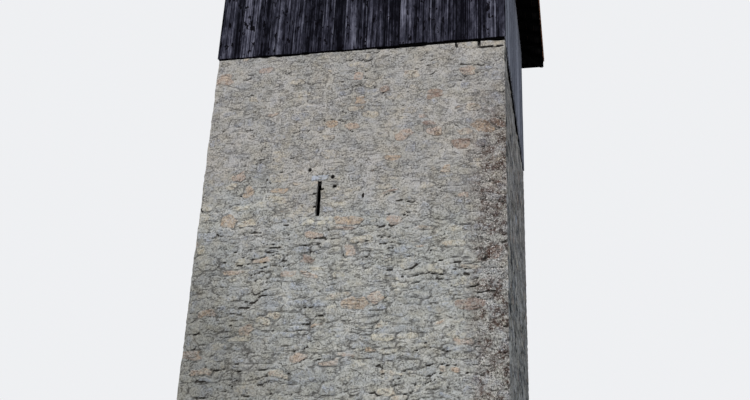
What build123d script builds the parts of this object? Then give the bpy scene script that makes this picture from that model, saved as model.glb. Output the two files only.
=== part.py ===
"""A square stone watchtower with a board-clad timber storey and a low pyramid roof.

Millimetres, +Z up. The origin is the centre of the tower's foot at ground level. The front face, with the
loophole, looks along -Y.
"""
import os
from math import cos, radians, sqrt, tan

from build123d import *

# Masonry shaft
plan_width = 7000
masonry_height = 9400
wall_thickness = 1100
ledge_height = 3750
ledge_width = 150

# Loopholes, one in each wall, left of the middle as seen from outside
loophole_offset = -700
loophole_width = 100
loophole_height = 860
loophole_sill_height = 5090
loophole_inner_width = 600
loophole_throat = 120
lintel_stone_length = 340
lintel_stone_rise = 160
lintel_stone_depth = 250
sill_stone_length = 800
sill_stone_rise = 240
sill_stone_depth = 300
inner_lintel_bearing = 150
inner_lintel_rise = 160

# Doorway in the rear wall
door_width = 1000
door_height = 2100
door_reveal = 350
door_rebate = 100
door_frame_width = 90
door_frame_depth = 120
door_leaf_thickness = 50
door_clearance = 5
threshold_rise = 150
door_lintel_rise = 300
door_lintel_bearing = 250
hinge_strap_rise = 60
hinge_strap_thickness = 8
hinge_strap_inset = 350

# Floors
joist_depth = 200
joist_width = 150
joist_spacing = 600
floor_board_thickness = 40
floor_clearance = 10

# Timber storey, from the masonry head to the rafters' underside at the cladding
storey_height = 4160
cladding_proud = 20
cladding_thickness = 30
cladding_lift = 5
sill_beam_width = 220
sill_beam_depth = 220
corner_post_size = 200
wall_post_size = 160
rail_height = 1900
rail_depth = 160
rail_width = 120
brace_clearance = 150
brace_depth = 140
brace_width = 80
wall_plate_width = 200
wall_plate_depth = 200

# Roof
roof_pitch = 15
eave_overhang = 700
tile_projection = 30
fascia_thickness = 25
rafter_depth = 140
rafter_width = 100
rafter_spacing = 600
shortest_jack = 400
birdsmouth_depth = 45
hip_rafter_depth = 185
hip_rafter_width = 120
tie_beam_width = 200
tie_beam_depth = 250
king_post_across_flats = 300
king_post_sides = 8
roof_board_thickness = 25
tile_layer_thickness = 95
hip_tile_half_width = 120
hip_tile_rise = 75
apex_cap_radius = 190
apex_cap_rise = 170
apex_cap_arc = 80

# Faces that several pieces share, as distances from the tower's axis
half_plan = plan_width / 2
lower_room = half_plan - wall_thickness
upper_room = lower_room + ledge_width
cladding_face = half_plan + cladding_proud
frame_face = cladding_face - cladding_thickness
tile_edge = half_plan + eave_overhang
board_edge = tile_edge - tile_projection
rafter_end = board_edge - fascia_thickness

# Levels
sill_beam_top = masonry_height + sill_beam_depth
soffit_level = masonry_height + storey_height
slope = tan(radians(roof_pitch))
plate_top = soffit_level + (cladding_face - frame_face) * slope + birdsmouth_depth
plate_foot = plate_top - wall_plate_depth
upright = 1 / cos(radians(roof_pitch))
boards_underside = rafter_depth * upright
tiles_underside = boards_underside + roof_board_thickness * upright
tiles_top = tiles_underside + tile_layer_thickness * upright

FRONT, RIGHT, REAR, LEFT = 0, 90, 180, 270
QUARTERS = {"front": FRONT, "right": RIGHT, "rear": REAR, "left": LEFT}


def roof_level(run, layer=0):
    """Height of a roof plane at a distance from the axis; layer 0 is the rafters' underside."""
    return soffit_level + (cladding_face - run) * slope + layer


def roof_plane(outward, layer):
    """The sloping plane of one side, facing up and out; outward is that side's direction in plan."""
    x, y = outward
    foot = (x * cladding_face, y * cladding_face, roof_level(cladding_face, layer))
    return Plane(origin=foot, z_dir=(x * slope, y * slope, 1))


def hip_side(side, distance):
    """The upright plane beside a hip at the front, facing into the front slope."""
    shift = distance / sqrt(2)
    return Plane(origin=(side * shift, -shift, 0), z_dir=(side, -1, 0))


def turned(part, *angles):
    """Copies of a front piece, turned about the tower's axis."""
    with BuildPart() as copies:
        for angle in angles:
            add(part, rotation=(0, 0, angle))
    return copies.part


def finish(name, part):
    """Label a piece and write its file."""
    part.label = name
    export_step(part, f"parts/{name}.step")


def evenly(span, spacing):
    """Places from end to end of a span about the middle, as near to one spacing apart as fills it."""
    steps = round(span / 2 / spacing)
    return [step * span / 2 / steps for step in range(-steps, steps + 1)]


# Loophole: a straight throat at the face that splays open to the room
with BuildPart() as loophole:
    with BuildSketch(Plane.XY.offset(loophole_sill_height)):
        with BuildLine():
            Polyline(
                (loophole_offset - loophole_width / 2, -half_plan),
                (loophole_offset + loophole_width / 2, -half_plan),
                (loophole_offset + loophole_width / 2, -half_plan + loophole_throat),
                (loophole_offset + loophole_inner_width / 2, -upper_room),
                (loophole_offset - loophole_inner_width / 2, -upper_room),
                (loophole_offset - loophole_width / 2, -half_plan + loophole_throat),
                close=True,
            )
        make_face()
    extrude(amount=loophole_height)

with BuildPart() as loophole_lintel:
    with BuildSketch(Plane.XY.offset(loophole_sill_height + loophole_height)):
        with Locations((loophole_offset, lintel_stone_depth / 2 - half_plan)):
            Rectangle(lintel_stone_length, lintel_stone_depth)
    extrude(amount=lintel_stone_rise)

with BuildPart() as loophole_sill:
    with BuildSketch(Plane.XY.offset(loophole_sill_height)):
        with Locations((loophole_offset, sill_stone_depth / 2 - half_plan)):
            Rectangle(sill_stone_length, sill_stone_depth)
    extrude(amount=-sill_stone_rise)

inner_lintel_depth = half_plan - upper_room - lintel_stone_depth
with BuildPart() as loophole_inner_lintel:
    with BuildSketch(Plane.XY.offset(loophole_sill_height + loophole_height)):
        with Locations((loophole_offset, -upper_room - inner_lintel_depth / 2)):
            Rectangle(loophole_inner_width + 2 * inner_lintel_bearing, inner_lintel_depth)
    extrude(amount=inner_lintel_rise)


def masonry_wall(lower_length, upper_length):
    """A wall at the front, thinner above the ledge, cut for its loophole and that loophole's stones."""
    upper_thickness = half_plan - upper_room
    with BuildPart() as wall:
        with BuildSketch(Plane.XY):
            with Locations((0, wall_thickness / 2 - half_plan)):
                Rectangle(lower_length, wall_thickness)
        extrude(amount=ledge_height)
        with BuildSketch(Plane.XY.offset(ledge_height)):
            with Locations((0, upper_thickness / 2 - half_plan)):
                Rectangle(upper_length, upper_thickness)
        extrude(amount=masonry_height - ledge_height)
        for cutter in (loophole, loophole_lintel, loophole_sill, loophole_inner_lintel):
            add(cutter.part, mode=Mode.SUBTRACT)
    return wall.part


# Doorway, made at the front and turned to the rear: a narrow reveal outside, a rebated room side
inner_door_width = door_width + 2 * door_rebate
inner_door_height = door_height + door_rebate
inner_door_depth = wall_thickness - door_reveal
shoulder = door_reveal - half_plan

with BuildPart() as doorway:
    with BuildSketch(Plane.XY):
        with Locations((0, door_reveal / 2 - half_plan)):
            Rectangle(door_width, door_reveal)
    extrude(amount=door_height)
    with BuildSketch(Plane.XY):
        with Locations((0, shoulder + inner_door_depth / 2)):
            Rectangle(inner_door_width, inner_door_depth)
    extrude(amount=inner_door_height)

with BuildPart() as door_threshold:
    with BuildSketch(Plane.XY):
        with Locations((0, door_reveal / 2 - half_plan)):
            Rectangle(door_width, door_reveal)
        with Locations((0, shoulder + inner_door_depth / 2)):
            Rectangle(inner_door_width, inner_door_depth)
    extrude(amount=threshold_rise)

with BuildPart() as door_lintel:
    with BuildSketch(Plane.XY.offset(door_height)):
        with Locations((0, door_reveal / 2 - half_plan)):
            Rectangle(door_width + 2 * door_lintel_bearing, door_reveal)
    extrude(amount=door_lintel_rise)

with BuildPart() as door_inner_lintel:
    with BuildSketch(Plane.XY.offset(inner_door_height)):
        with Locations((0, shoulder + inner_door_depth / 2)):
            Rectangle(inner_door_width + 2 * door_lintel_bearing, inner_door_depth)
    extrude(amount=door_lintel_rise - door_rebate)

frame_clear_width = inner_door_width - 2 * door_frame_width
frame_clear_height = inner_door_height - door_frame_width
with BuildPart() as door_frame:
    with BuildSketch(Plane.XY.offset(threshold_rise)):
        with Locations((0, shoulder + door_frame_depth / 2)):
            Rectangle(inner_door_width, door_frame_depth)
            Rectangle(frame_clear_width, door_frame_depth, mode=Mode.SUBTRACT)
    extrude(amount=inner_door_height - threshold_rise)
    with BuildSketch(Plane.XY.offset(frame_clear_height)):
        with Locations((0, shoulder + door_frame_depth / 2)):
            Rectangle(inner_door_width, door_frame_depth)
    extrude(amount=door_frame_width)

leaf_middle = shoulder + door_leaf_thickness / 2
with BuildPart() as door_leaf:
    with BuildSketch(Plane.XY.offset(threshold_rise)):
        with Locations((0, leaf_middle)):
            Rectangle(frame_clear_width, door_leaf_thickness)
    extrude(amount=frame_clear_height - threshold_rise)

strap_middle = shoulder + door_leaf_thickness + hinge_strap_thickness / 2
with BuildPart() as hinge_straps:
    for strap_foot in (threshold_rise + hinge_strap_inset, frame_clear_height - hinge_strap_inset):
        with BuildSketch(Plane.XY.offset(strap_foot)):
            with Locations((0, strap_middle)):
                Rectangle(frame_clear_width - 2 * door_clearance, hinge_strap_thickness)
        extrude(amount=hinge_strap_rise)

with BuildPart() as door_wall:
    add(masonry_wall(plan_width, plan_width))
    for cutter in (doorway, door_lintel, door_inner_lintel):
        add(cutter.part, mode=Mode.SUBTRACT)

# Floors: joists from the front ledge to the rear one, and on the masonry head
first_floor_half = upper_room - floor_clearance
with BuildPart() as first_floor_joists:
    with BuildSketch(Plane.XY.offset(ledge_height)):
        with Locations([(x, 0) for x in evenly(2 * first_floor_half - joist_width, joist_spacing)]):
            Rectangle(joist_width, 2 * upper_room)
    extrude(amount=joist_depth)

first_floor_underside = ledge_height + joist_depth
with BuildPart() as first_floor_boards:
    with BuildSketch(Plane.XY.offset(first_floor_underside)):
        Rectangle(2 * upper_room, 2 * upper_room)
    extrude(amount=floor_board_thickness)

upper_floor_half = frame_face - sill_beam_width - floor_clearance
with BuildPart() as upper_floor_joists:
    with BuildSketch(Plane.XY.offset(masonry_height)):
        with Locations([(x, 0) for x in evenly(2 * upper_floor_half - joist_width, joist_spacing)]):
            Rectangle(joist_width, 2 * upper_floor_half)
    extrude(amount=joist_depth)

with BuildPart() as upper_floor_boards:
    with BuildSketch(Plane.XY.offset(masonry_height + joist_depth)):
        Rectangle(2 * upper_floor_half, 2 * upper_floor_half)
    extrude(amount=floor_board_thickness)


def long_pair(level, width, depth):
    """Two beams along the front and rear, full length, on the frame's outer line."""
    with BuildPart() as pair:
        with BuildSketch(Plane.XY.offset(level)):
            with GridLocations(0, 2 * frame_face - width, 1, 2):
                Rectangle(2 * frame_face, width)
        extrude(amount=depth)
    return pair.part


def cross_pair(level, width, depth):
    """Two beams along the left and right, between the long pair."""
    with BuildPart() as pair:
        with BuildSketch(Plane.XY.offset(level)):
            with GridLocations(2 * frame_face - width, 0, 2, 1):
                Rectangle(width, 2 * (frame_face - width))
        extrude(amount=depth)
    return pair.part


# Timber frame
long_sill_beams = long_pair(masonry_height, sill_beam_width, sill_beam_depth)
cross_sill_beams = cross_pair(masonry_height, sill_beam_width, sill_beam_depth)
long_wall_plates = long_pair(plate_foot, wall_plate_width, wall_plate_depth)
cross_wall_plates = cross_pair(plate_foot, wall_plate_width, wall_plate_depth)

with BuildPart() as tie_beam:
    with BuildSketch(Plane.XY.offset(plate_foot)):
        Rectangle(tie_beam_width, 2 * frame_face)
    extrude(amount=-tie_beam_depth)

with BuildPart() as corner_posts:
    with BuildSketch(Plane.XY.offset(sill_beam_top)):
        post_pitch = 2 * frame_face - corner_post_size
        with GridLocations(post_pitch, post_pitch, 2, 2):
            Rectangle(corner_post_size, corner_post_size)
    extrude(amount=plate_foot - sill_beam_top)

post_bay = frame_face / 2
with BuildPart() as wall_posts:
    with BuildSketch(Plane.XY.offset(sill_beam_top)):
        post_line = frame_face - wall_post_size / 2
        for along in (-post_bay, 0, post_bay):
            with Locations((along, -post_line), (along, post_line), (-post_line, along), (post_line, along)):
                Rectangle(wall_post_size, wall_post_size)
    extrude(amount=plate_foot - sill_beam_top)
    add(tie_beam.part, mode=Mode.SUBTRACT)

with BuildPart() as rails:
    with BuildSketch(Plane.XY.offset(sill_beam_top + rail_height)):
        rail_line = 2 * frame_face - rail_width
        rail_length = 2 * (frame_face - corner_post_size)
        with GridLocations(0, rail_line, 1, 2):
            Rectangle(rail_length, rail_width)
        with GridLocations(rail_line, 0, 2, 1):
            Rectangle(rail_width, rail_length)
    extrude(amount=rail_depth)
    add(wall_posts.part, mode=Mode.SUBTRACT)

brace_cut = brace_depth * sqrt(2)
post_side = frame_face - corner_post_size
brace_reach = post_side - post_bay - wall_post_size / 2 - brace_clearance
with BuildPart() as front_braces:
    with BuildSketch(Plane.XZ.offset(frame_face)):
        with BuildLine():
            Polyline(
                (post_side - brace_reach, sill_beam_top),
                (post_side, sill_beam_top + brace_reach),
                (post_side, sill_beam_top + brace_reach - brace_cut),
                (post_side - brace_reach + brace_cut, sill_beam_top),
                close=True,
            )
        make_face()
    extrude(amount=-brace_width)
    mirror(about=Plane.YZ)


# Roof timbers
def rafter_slab(places):
    """Rafters of the front slope: plumb cut at the eave, notched over the wall plate, cut to the hips."""
    ridge_end = king_post_across_flats / 2
    seat_end = cladding_face - (plate_top - soffit_level) / slope
    with BuildPart() as rafters:
        with BuildSketch(*[Plane.YZ.offset(place) for place in places]):
            with BuildLine():
                Polyline(
                    (-rafter_end, roof_level(rafter_end)),
                    (-frame_face, roof_level(frame_face)),
                    (-frame_face, plate_top),
                    (-seat_end, plate_top),
                    (-ridge_end, roof_level(ridge_end)),
                    (-ridge_end, roof_level(ridge_end, boards_underside)),
                    (-rafter_end, roof_level(rafter_end, boards_underside)),
                    close=True,
                )
            make_face()
        extrude(amount=rafter_width / 2, both=True)
        for side in (-1, 1):
            split(bisect_by=hip_side(side, hip_rafter_width / 2), keep=Keep.TOP)
    return rafters.part


front_rafters = rafter_slab(evenly(2 * (rafter_end - shortest_jack), rafter_spacing))

diagonal = Plane(origin=(0, 0, 0), x_dir=(1, -1, 0), z_dir=(-1, -1, 0))
hip_drop = hip_rafter_depth * upright
with BuildPart() as hip_rafter:
    hip_start = king_post_across_flats / 2
    hip_end = rafter_end * sqrt(2) + hip_rafter_width
    top_at_start = roof_level(hip_start / sqrt(2), boards_underside)
    top_at_end = roof_level(hip_end / sqrt(2), boards_underside)
    with BuildSketch(diagonal):
        with BuildLine():
            Polyline(
                (hip_start, top_at_start),
                (hip_end, top_at_end),
                (hip_end, top_at_end - hip_drop),
                (hip_start, top_at_start - hip_drop),
                close=True,
            )
        make_face()
    extrude(amount=hip_rafter_width / 2, both=True)
    for outward in ((0, -1), (1, 0)):
        split(bisect_by=roof_plane(outward, boards_underside), keep=Keep.BOTTOM)
        end = (outward[0] * rafter_end, outward[1] * rafter_end, 0)
        split(bisect_by=Plane(origin=end, z_dir=(*outward, 0)), keep=Keep.BOTTOM)
    add(long_wall_plates, mode=Mode.SUBTRACT)
    add(cross_wall_plates, mode=Mode.SUBTRACT)
hip_rafters = turned(hip_rafter.part, *QUARTERS.values())

with BuildPart() as king_post:
    with BuildSketch(Plane.XY.offset(plate_foot)):
        half_corner = 180 / king_post_sides
        RegularPolygon(king_post_across_flats / 2, king_post_sides, major_radius=False, rotation=half_corner)
    extrude(amount=roof_level(0, boards_underside) - plate_foot)
    for outward in ((0, -1), (1, 0), (0, 1), (-1, 0)):
        split(bisect_by=roof_plane(outward, boards_underside), keep=Keep.BOTTOM)


def slope_slab(edge, underside, topside):
    """A layer of the front roof slope between two parallel planes, mitred along both hips."""
    with BuildPart() as layer:
        with BuildSketch(Plane.YZ):
            with BuildLine():
                Polyline(
                    (-edge, roof_level(edge, underside)),
                    (0, roof_level(0, underside)),
                    (0, roof_level(0, topside)),
                    (-edge, roof_level(edge, topside)),
                    close=True,
                )
            make_face()
        extrude(amount=edge, both=True)
        for side in (-1, 1):
            split(bisect_by=hip_side(side, 0), keep=Keep.TOP)
    return layer.part


front_roof_boards = slope_slab(board_edge, boards_underside, tiles_underside)
front_roof_tiles = slope_slab(tile_edge, tiles_underside, tiles_top)

with BuildPart() as front_fascia:
    with BuildSketch(Plane.YZ):
        with BuildLine():
            Polyline(
                (-board_edge, roof_level(board_edge)),
                (-rafter_end, roof_level(board_edge)),
                (-rafter_end, roof_level(rafter_end, boards_underside)),
                (-board_edge, roof_level(board_edge, boards_underside)),
                close=True,
            )
        make_face()
    extrude(amount=board_edge, both=True)
    for side in (-1, 1):
        split(bisect_by=hip_side(side, 0), keep=Keep.TOP)

# Apex cap and the half-round tiles bedded over the hips
apex = roof_level(0, tiles_top)
apex_bed_width = 3 * apex_cap_radius
with BuildPart() as apex_bed:
    with BuildSketch(Plane.XY.offset(apex - tile_layer_thickness)):
        Rectangle(apex_bed_width, apex_bed_width)
    extrude(amount=2 * tile_layer_thickness)
    for outward in ((0, -1), (1, 0), (0, 1), (-1, 0)):
        split(bisect_by=roof_plane(outward, tiles_top), keep=Keep.BOTTOM)

with BuildPart() as apex_cap:
    with BuildSketch(Plane.XZ):
        with BuildLine():
            foot = apex - apex_cap_radius * slope
            crown = JernArc((apex_cap_radius, apex), (0, 1), apex_cap_rise, apex_cap_arc)
            Polyline(crown @ 1, (0, (crown @ 1).Y), (0, foot), (apex_cap_radius, foot), crown @ 0)
        make_face()
    revolve(axis=Axis.Z)
    add(apex_bed.part, mode=Mode.SUBTRACT)

cross_fall = slope / sqrt(slope**2 + 2)
hip_line_top = Vector(0, 0, apex)
hip_line_end = Vector(tile_edge, -tile_edge, roof_level(tile_edge, tiles_top))
hip_direction = (hip_line_end - hip_line_top).normalized()
with BuildPart() as hip_tile_row:
    hip_section = Plane(origin=hip_line_top, x_dir=(1, 1, 0), z_dir=hip_direction)
    with BuildSketch(hip_section):
        with BuildLine():
            half_width = hip_tile_half_width
            sign = 1 if hip_section.y_dir.Z > 0 else -1
            fall = -sign * half_width * cross_fall
            back = ThreePointArc((-half_width, fall), (0, sign * hip_tile_rise), (half_width, fall))
            Polyline(back @ 1, (0, 0), back @ 0)
        make_face()
    extrude(amount=(hip_line_end - hip_line_top).length)
    for outward in ((0, -1), (1, 0)):
        end = (outward[0] * tile_edge, outward[1] * tile_edge, 0)
        split(bisect_by=Plane(origin=end, z_dir=(*outward, 0)), keep=Keep.BOTTOM)
    with BuildSketch(Plane.XY.offset(apex - apex_cap_rise)):
        Circle(apex_cap_radius)
    extrude(amount=2 * apex_cap_rise, mode=Mode.SUBTRACT)
hip_tiles = turned(hip_tile_row.part, *QUARTERS.values())


def cladding(length):
    """The board wall at the front, notched round the hip rafters where they cross it."""
    with BuildPart() as wall:
        with BuildSketch(Plane.XY.offset(masonry_height + cladding_lift)):
            with Locations((0, cladding_thickness / 2 - cladding_face)):
                Rectangle(length, cladding_thickness)
        extrude(amount=storey_height - cladding_lift)
        add(hip_rafters, mode=Mode.SUBTRACT)
    return wall.part


long_cladding = cladding(2 * cladding_face)
cross_cladding = cladding(2 * frame_face)
long_wall = masonry_wall(plan_width, plan_width)
cross_wall = masonry_wall(2 * lower_room, 2 * upper_room)

# Files
os.makedirs("parts", exist_ok=True)

finish("front_wall", turned(long_wall, FRONT))
finish("rear_wall", turned(door_wall.part, REAR))
finish("left_wall", turned(cross_wall, LEFT))
finish("right_wall", turned(cross_wall, RIGHT))
finish("loophole_lintels", turned(loophole_lintel.part, *QUARTERS.values()))
finish("loophole_sills", turned(loophole_sill.part, *QUARTERS.values()))
finish("loophole_inner_lintels", turned(loophole_inner_lintel.part, *QUARTERS.values()))
finish("door_threshold", turned(door_threshold.part, REAR))
finish("door_lintel", turned(door_lintel.part, REAR))
finish("door_inner_lintel", turned(door_inner_lintel.part, REAR))
finish("door_frame", turned(door_frame.part, REAR))
finish("door_leaf", turned(door_leaf.part, REAR))
finish("hinge_straps", turned(hinge_straps.part, REAR))
finish("first_floor_joists", first_floor_joists.part)
finish("first_floor_boards", first_floor_boards.part)
finish("upper_floor_joists", upper_floor_joists.part)
finish("upper_floor_boards", upper_floor_boards.part)
finish("long_sill_beams", long_sill_beams)
finish("cross_sill_beams", cross_sill_beams)
finish("corner_posts", corner_posts.part)
finish("wall_posts", wall_posts.part)
finish("rails", rails.part)
finish("braces", turned(front_braces.part, *QUARTERS.values()))
finish("long_wall_plates", long_wall_plates)
finish("cross_wall_plates", cross_wall_plates)
finish("tie_beam", tie_beam.part)
finish("king_post", king_post.part)
finish("hip_rafters", hip_rafters)
finish("long_fascias", turned(front_fascia.part, FRONT, REAR))
finish("cross_fascias", turned(front_fascia.part, RIGHT, LEFT))
finish("hip_tiles", hip_tiles)
finish("apex_cap", apex_cap.part)
for side_name, quarter in QUARTERS.items():
    board_wall = cross_cladding if quarter in (RIGHT, LEFT) else long_cladding
    finish(f"{side_name}_cladding", turned(board_wall, quarter))
    finish(f"{side_name}_rafters", turned(front_rafters, quarter))
    finish(f"{side_name}_roof_boards", turned(front_roof_boards, quarter))
    finish(f"{side_name}_roof_tiles", turned(front_roof_tiles, quarter))
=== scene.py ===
# %% [markdown]
# A stone watchtower in Blender
#
# The tower is a square shaft of rubble laid in pale lime mortar, with one narrow loophole in each wall. A
# storey of weathered boards stands on it under a low roof of clay tiles with deep eaves. The solids give
# the sizes. This script gives every surface its finish: it lays the stones one by one, hangs the boards and
# covers the roof tile by tile. All lengths are in metres.

# %% Load the frame
from functools import partial
from math import cos, pi, radians, sin, sqrt, tan

import bpy
import numpy as np
from mathutils import Matrix, Vector


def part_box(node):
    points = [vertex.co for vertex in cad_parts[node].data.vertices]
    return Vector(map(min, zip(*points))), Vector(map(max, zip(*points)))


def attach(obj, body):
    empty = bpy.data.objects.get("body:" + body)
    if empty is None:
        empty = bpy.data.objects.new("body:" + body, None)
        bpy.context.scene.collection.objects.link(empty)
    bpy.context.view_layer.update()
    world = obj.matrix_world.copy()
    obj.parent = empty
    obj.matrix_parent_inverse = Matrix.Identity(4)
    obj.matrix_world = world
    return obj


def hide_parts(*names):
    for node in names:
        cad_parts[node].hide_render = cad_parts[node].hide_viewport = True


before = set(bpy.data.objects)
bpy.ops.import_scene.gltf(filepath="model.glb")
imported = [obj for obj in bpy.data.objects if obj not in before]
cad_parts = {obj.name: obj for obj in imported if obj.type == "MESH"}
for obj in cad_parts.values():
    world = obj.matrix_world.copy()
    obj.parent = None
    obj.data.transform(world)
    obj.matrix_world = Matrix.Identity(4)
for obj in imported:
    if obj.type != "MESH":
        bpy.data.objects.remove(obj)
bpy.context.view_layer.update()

# %% [markdown]
# The camera stands well below the foot of the tower and looks up, a little from the right. Its place came
# from the tower's own edges: the corners, the foot of the boards and the loophole have known sizes, and
# only one place, direction and focal length bring all of them to where the photograph has them.

# %% Camera
EYE = Vector((4.827, -22.794, -3.622))
YAW, PITCH, ROLL = radians(12.373), radians(24.589), radians(2.610)
LENS = 47.26

camera = bpy.data.objects.new("camera", bpy.data.cameras.new("camera"))
bpy.context.scene.collection.objects.link(camera)
forward = Vector((-sin(YAW) * cos(PITCH), cos(YAW) * cos(PITCH), sin(PITCH)))
level = Vector((cos(YAW), sin(YAW), 0))
upward = level.cross(forward)
camera_x = cos(ROLL) * level + sin(ROLL) * upward
camera_y = cos(ROLL) * upward - sin(ROLL) * level
axes = Matrix((camera_x, camera_y, -forward)).transposed().to_4x4()
camera.matrix_world = Matrix.Translation(EYE) @ axes
camera.data.lens = LENS
camera.data.clip_end = 500.0
bpy.context.scene.camera = camera
print("camera at", tuple(round(v, 2) for v in EYE), "lens", LENS)

# %% [markdown]
# The finish takes its places from the solids, so that it follows them if they change. The tower stands on
# the origin and its front looks along -Y.

# %% Sizes from the solids
LEDGE_WIDTH = 0.15


def box_of(node):
    """Lowest and highest corner of a solid as arrays."""
    low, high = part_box(node)
    return np.array(low), np.array(high)


HALF, MASONRY_TOP = box_of("front_wall")[1][[0, 2]]
INNER_LOW = -box_of("front_wall")[1][1]
LEDGE = box_of("first_floor_joists")[0][2]
INNER_HIGH = INNER_LOW + LEDGE_WIDTH
CLADDING_LOW, CLADDING_HIGH = box_of("front_cladding")
CLADDING_OUT, CLADDING_BACK = -CLADDING_LOW[1], -CLADDING_HIGH[1]
LOOPHOLE_SILL = box_of("loophole_sills")[1][2]
LOOPHOLE_HEAD = box_of("loophole_lintels")[0][2]
DOOR_HEAD = box_of("door_lintel")[0][2]
DOOR_INNER_HEAD = box_of("door_inner_lintel")[0][2]
DOOR_INNER_HALF, DOOR_FRAME_OUT = box_of("door_frame")[1][:2]
print("half plan", round(HALF, 3), "masonry top", round(MASONRY_TOP, 3), "inner faces", INNER_LOW, INNER_HIGH)

# %% Sizes of the openings
LOOPHOLE_PLACE = -0.70
LOOPHOLE_HALF = 0.05
LOOPHOLE_THROAT = 0.12
LOOPHOLE_INNER_HALF = 0.30
DOOR_HALF = 0.50
DOOR_REVEAL = HALF - DOOR_FRAME_OUT
print("loophole from", LOOPHOLE_SILL, "to", LOOPHOLE_HEAD, "door reveal", round(DOOR_REVEAL, 3))

# %% [markdown]
# All four sides are made from one description and turned about the tower's axis. A side's own coordinates
# are s along the wall, from left to right as seen from outside, the distance out from the axis, and the
# height.

# %% Sides and turning
SIDES = {"front": 0, "right": 1, "rear": 2, "left": 3}


def place(quarter, along, out, height):
    """Points of a side in the tower's frame: (s, -out, height) turned by a quarter circle for each step
    from the front."""
    along, out, height = np.broadcast_arrays(along, out, height)
    angle = quarter * pi / 2
    x = along * cos(angle) + out * sin(angle)
    y = along * sin(angle) - out * cos(angle)
    return np.stack([x, y, height], axis=-1)


# %% [markdown]
# Stones, mortar and boards are never regular, so nearly everything here is disturbed a little by noise.
# Value noise is the simplest kind: random numbers on a square lattice, blended smoothly in between. Adding
# finer and weaker copies gives the rough look of stone.

# %% Noise
THREE_LAYERS = 1 + 1 / 2 + 1 / 4


def lattice(ix, iy, seed):
    """A number from 0 to 1 for each whole-number point: the fraction left by a large multiple of a sine."""
    wave = np.sin(ix * 127.1 + iy * 311.7 + seed * 74.7) * 43758.5453
    return wave - np.floor(wave)


def smooth(t):
    """Smooth step: 3t^2 - 2t^3 with t held between 0 and 1."""
    t = np.clip(t, 0.0, 1.0)
    return t * t * (3 - 2 * t)


def noise(x, y, size, seed, layers=3):
    """Layered value noise about 0, from -1 to 1: each layer is half as large and half as strong as the one
    before, and the sum is divided by the strength of three layers."""
    total, strength = 0.0, 1.0
    for _ in range(layers):
        u, v = x / size, y / size
        iu, iv = np.floor(u), np.floor(v)
        fu, fv = smooth(u - iu), smooth(v - iv)
        low = lattice(iu, iv, seed) * (1 - fu) + lattice(iu + 1, iv, seed) * fu
        high = lattice(iu, iv + 1, seed) * (1 - fu) + lattice(iu + 1, iv + 1, seed) * fu
        total = total + strength * (low * (1 - fv) + high * fv - 0.5) * 2
        size, strength, seed = size / 2, strength / 2, seed + 13
    return total / THREE_LAYERS


trial = noise(np.arange(99.0), np.zeros(99), 2.3, 1)
print("noise runs from", round(trial.min(), 2), "to", round(trial.max(), 2))

# %% [markdown]
# A mesh is points, faces and, here, a few numbers stored at each point. The materials read those numbers:
# they say how far a point is from the edge of its stone, or which shade its board has. Every piece rides on
# the tower and hides the solids that it stands for.

# %% Meshes
def make_piece(name, points, faces, slot, material, replaced=(), **point_values):
    """A mesh object from arrays of points and faces, with named values on its points."""
    mesh = bpy.data.meshes.new(name)
    mesh.from_pydata(np.asarray(points).reshape(-1, 3).tolist(), [], faces)
    for key, values in point_values.items():
        mesh.attributes.new(key, "FLOAT", "POINT").data.foreach_set("value", np.ravel(values).astype(float))
    mesh.materials.append(material)
    mesh.update()
    piece = bpy.data.objects.new(name, mesh)
    bpy.context.scene.collection.objects.link(piece)
    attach(piece, "root")
    if replaced:
        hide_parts(*replaced)
    return piece


def tube_faces(count, rows, around):
    """Faces of many closed bodies, each made of rows of points around a profile: side quads and two ends."""
    start = np.arange(count)[:, None, None] * rows * around
    row = start + np.arange(rows - 1)[None, :, None] * around
    a, b = row + np.arange(around), row + (np.arange(around) + 1) % around
    sides = np.stack([a, b, b + around, a + around], axis=-1).reshape(-1, 4)
    ring = start[:, 0] + np.arange(around)
    return sides.tolist() + ring[:, ::-1].tolist() + (ring + (rows - 1) * around).tolist()


# %% [markdown]
# Each material starts from what the real surface is. All of them are built with one function that adds a
# node with its settings and links, and with one that turns the familiar sRGB hex colours into the linear
# numbers that the shader works with. Noise scales count patterns to the metre: 28 means one each 36 mm.

# %% Material helpers
# what nearly all nodes of a kind share here, unless a call says otherwise
USUAL = {"Mix": {"data_type": "RGBA"}, "MapRange": {"interpolation_type": "SMOOTHSTEP"},
         "TexNoise": {"Detail": 4.0, "Roughness": 0.6}}


def linear(hex_colour):
    """Linear red, green, blue and alpha of an sRGB hex colour: c / 12.92 where c is dark, and otherwise
    ((c + 0.055) / 1.055) to the power of 2.4."""
    srgb = np.array([int(hex_colour[k:k + 2], 16) for k in (1, 3, 5)]) / 255
    return (*np.where(srgb <= 0.04045, srgb / 12.92, ((srgb + 0.055) / 1.055) ** 2.4).tolist(), 1.0)


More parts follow.
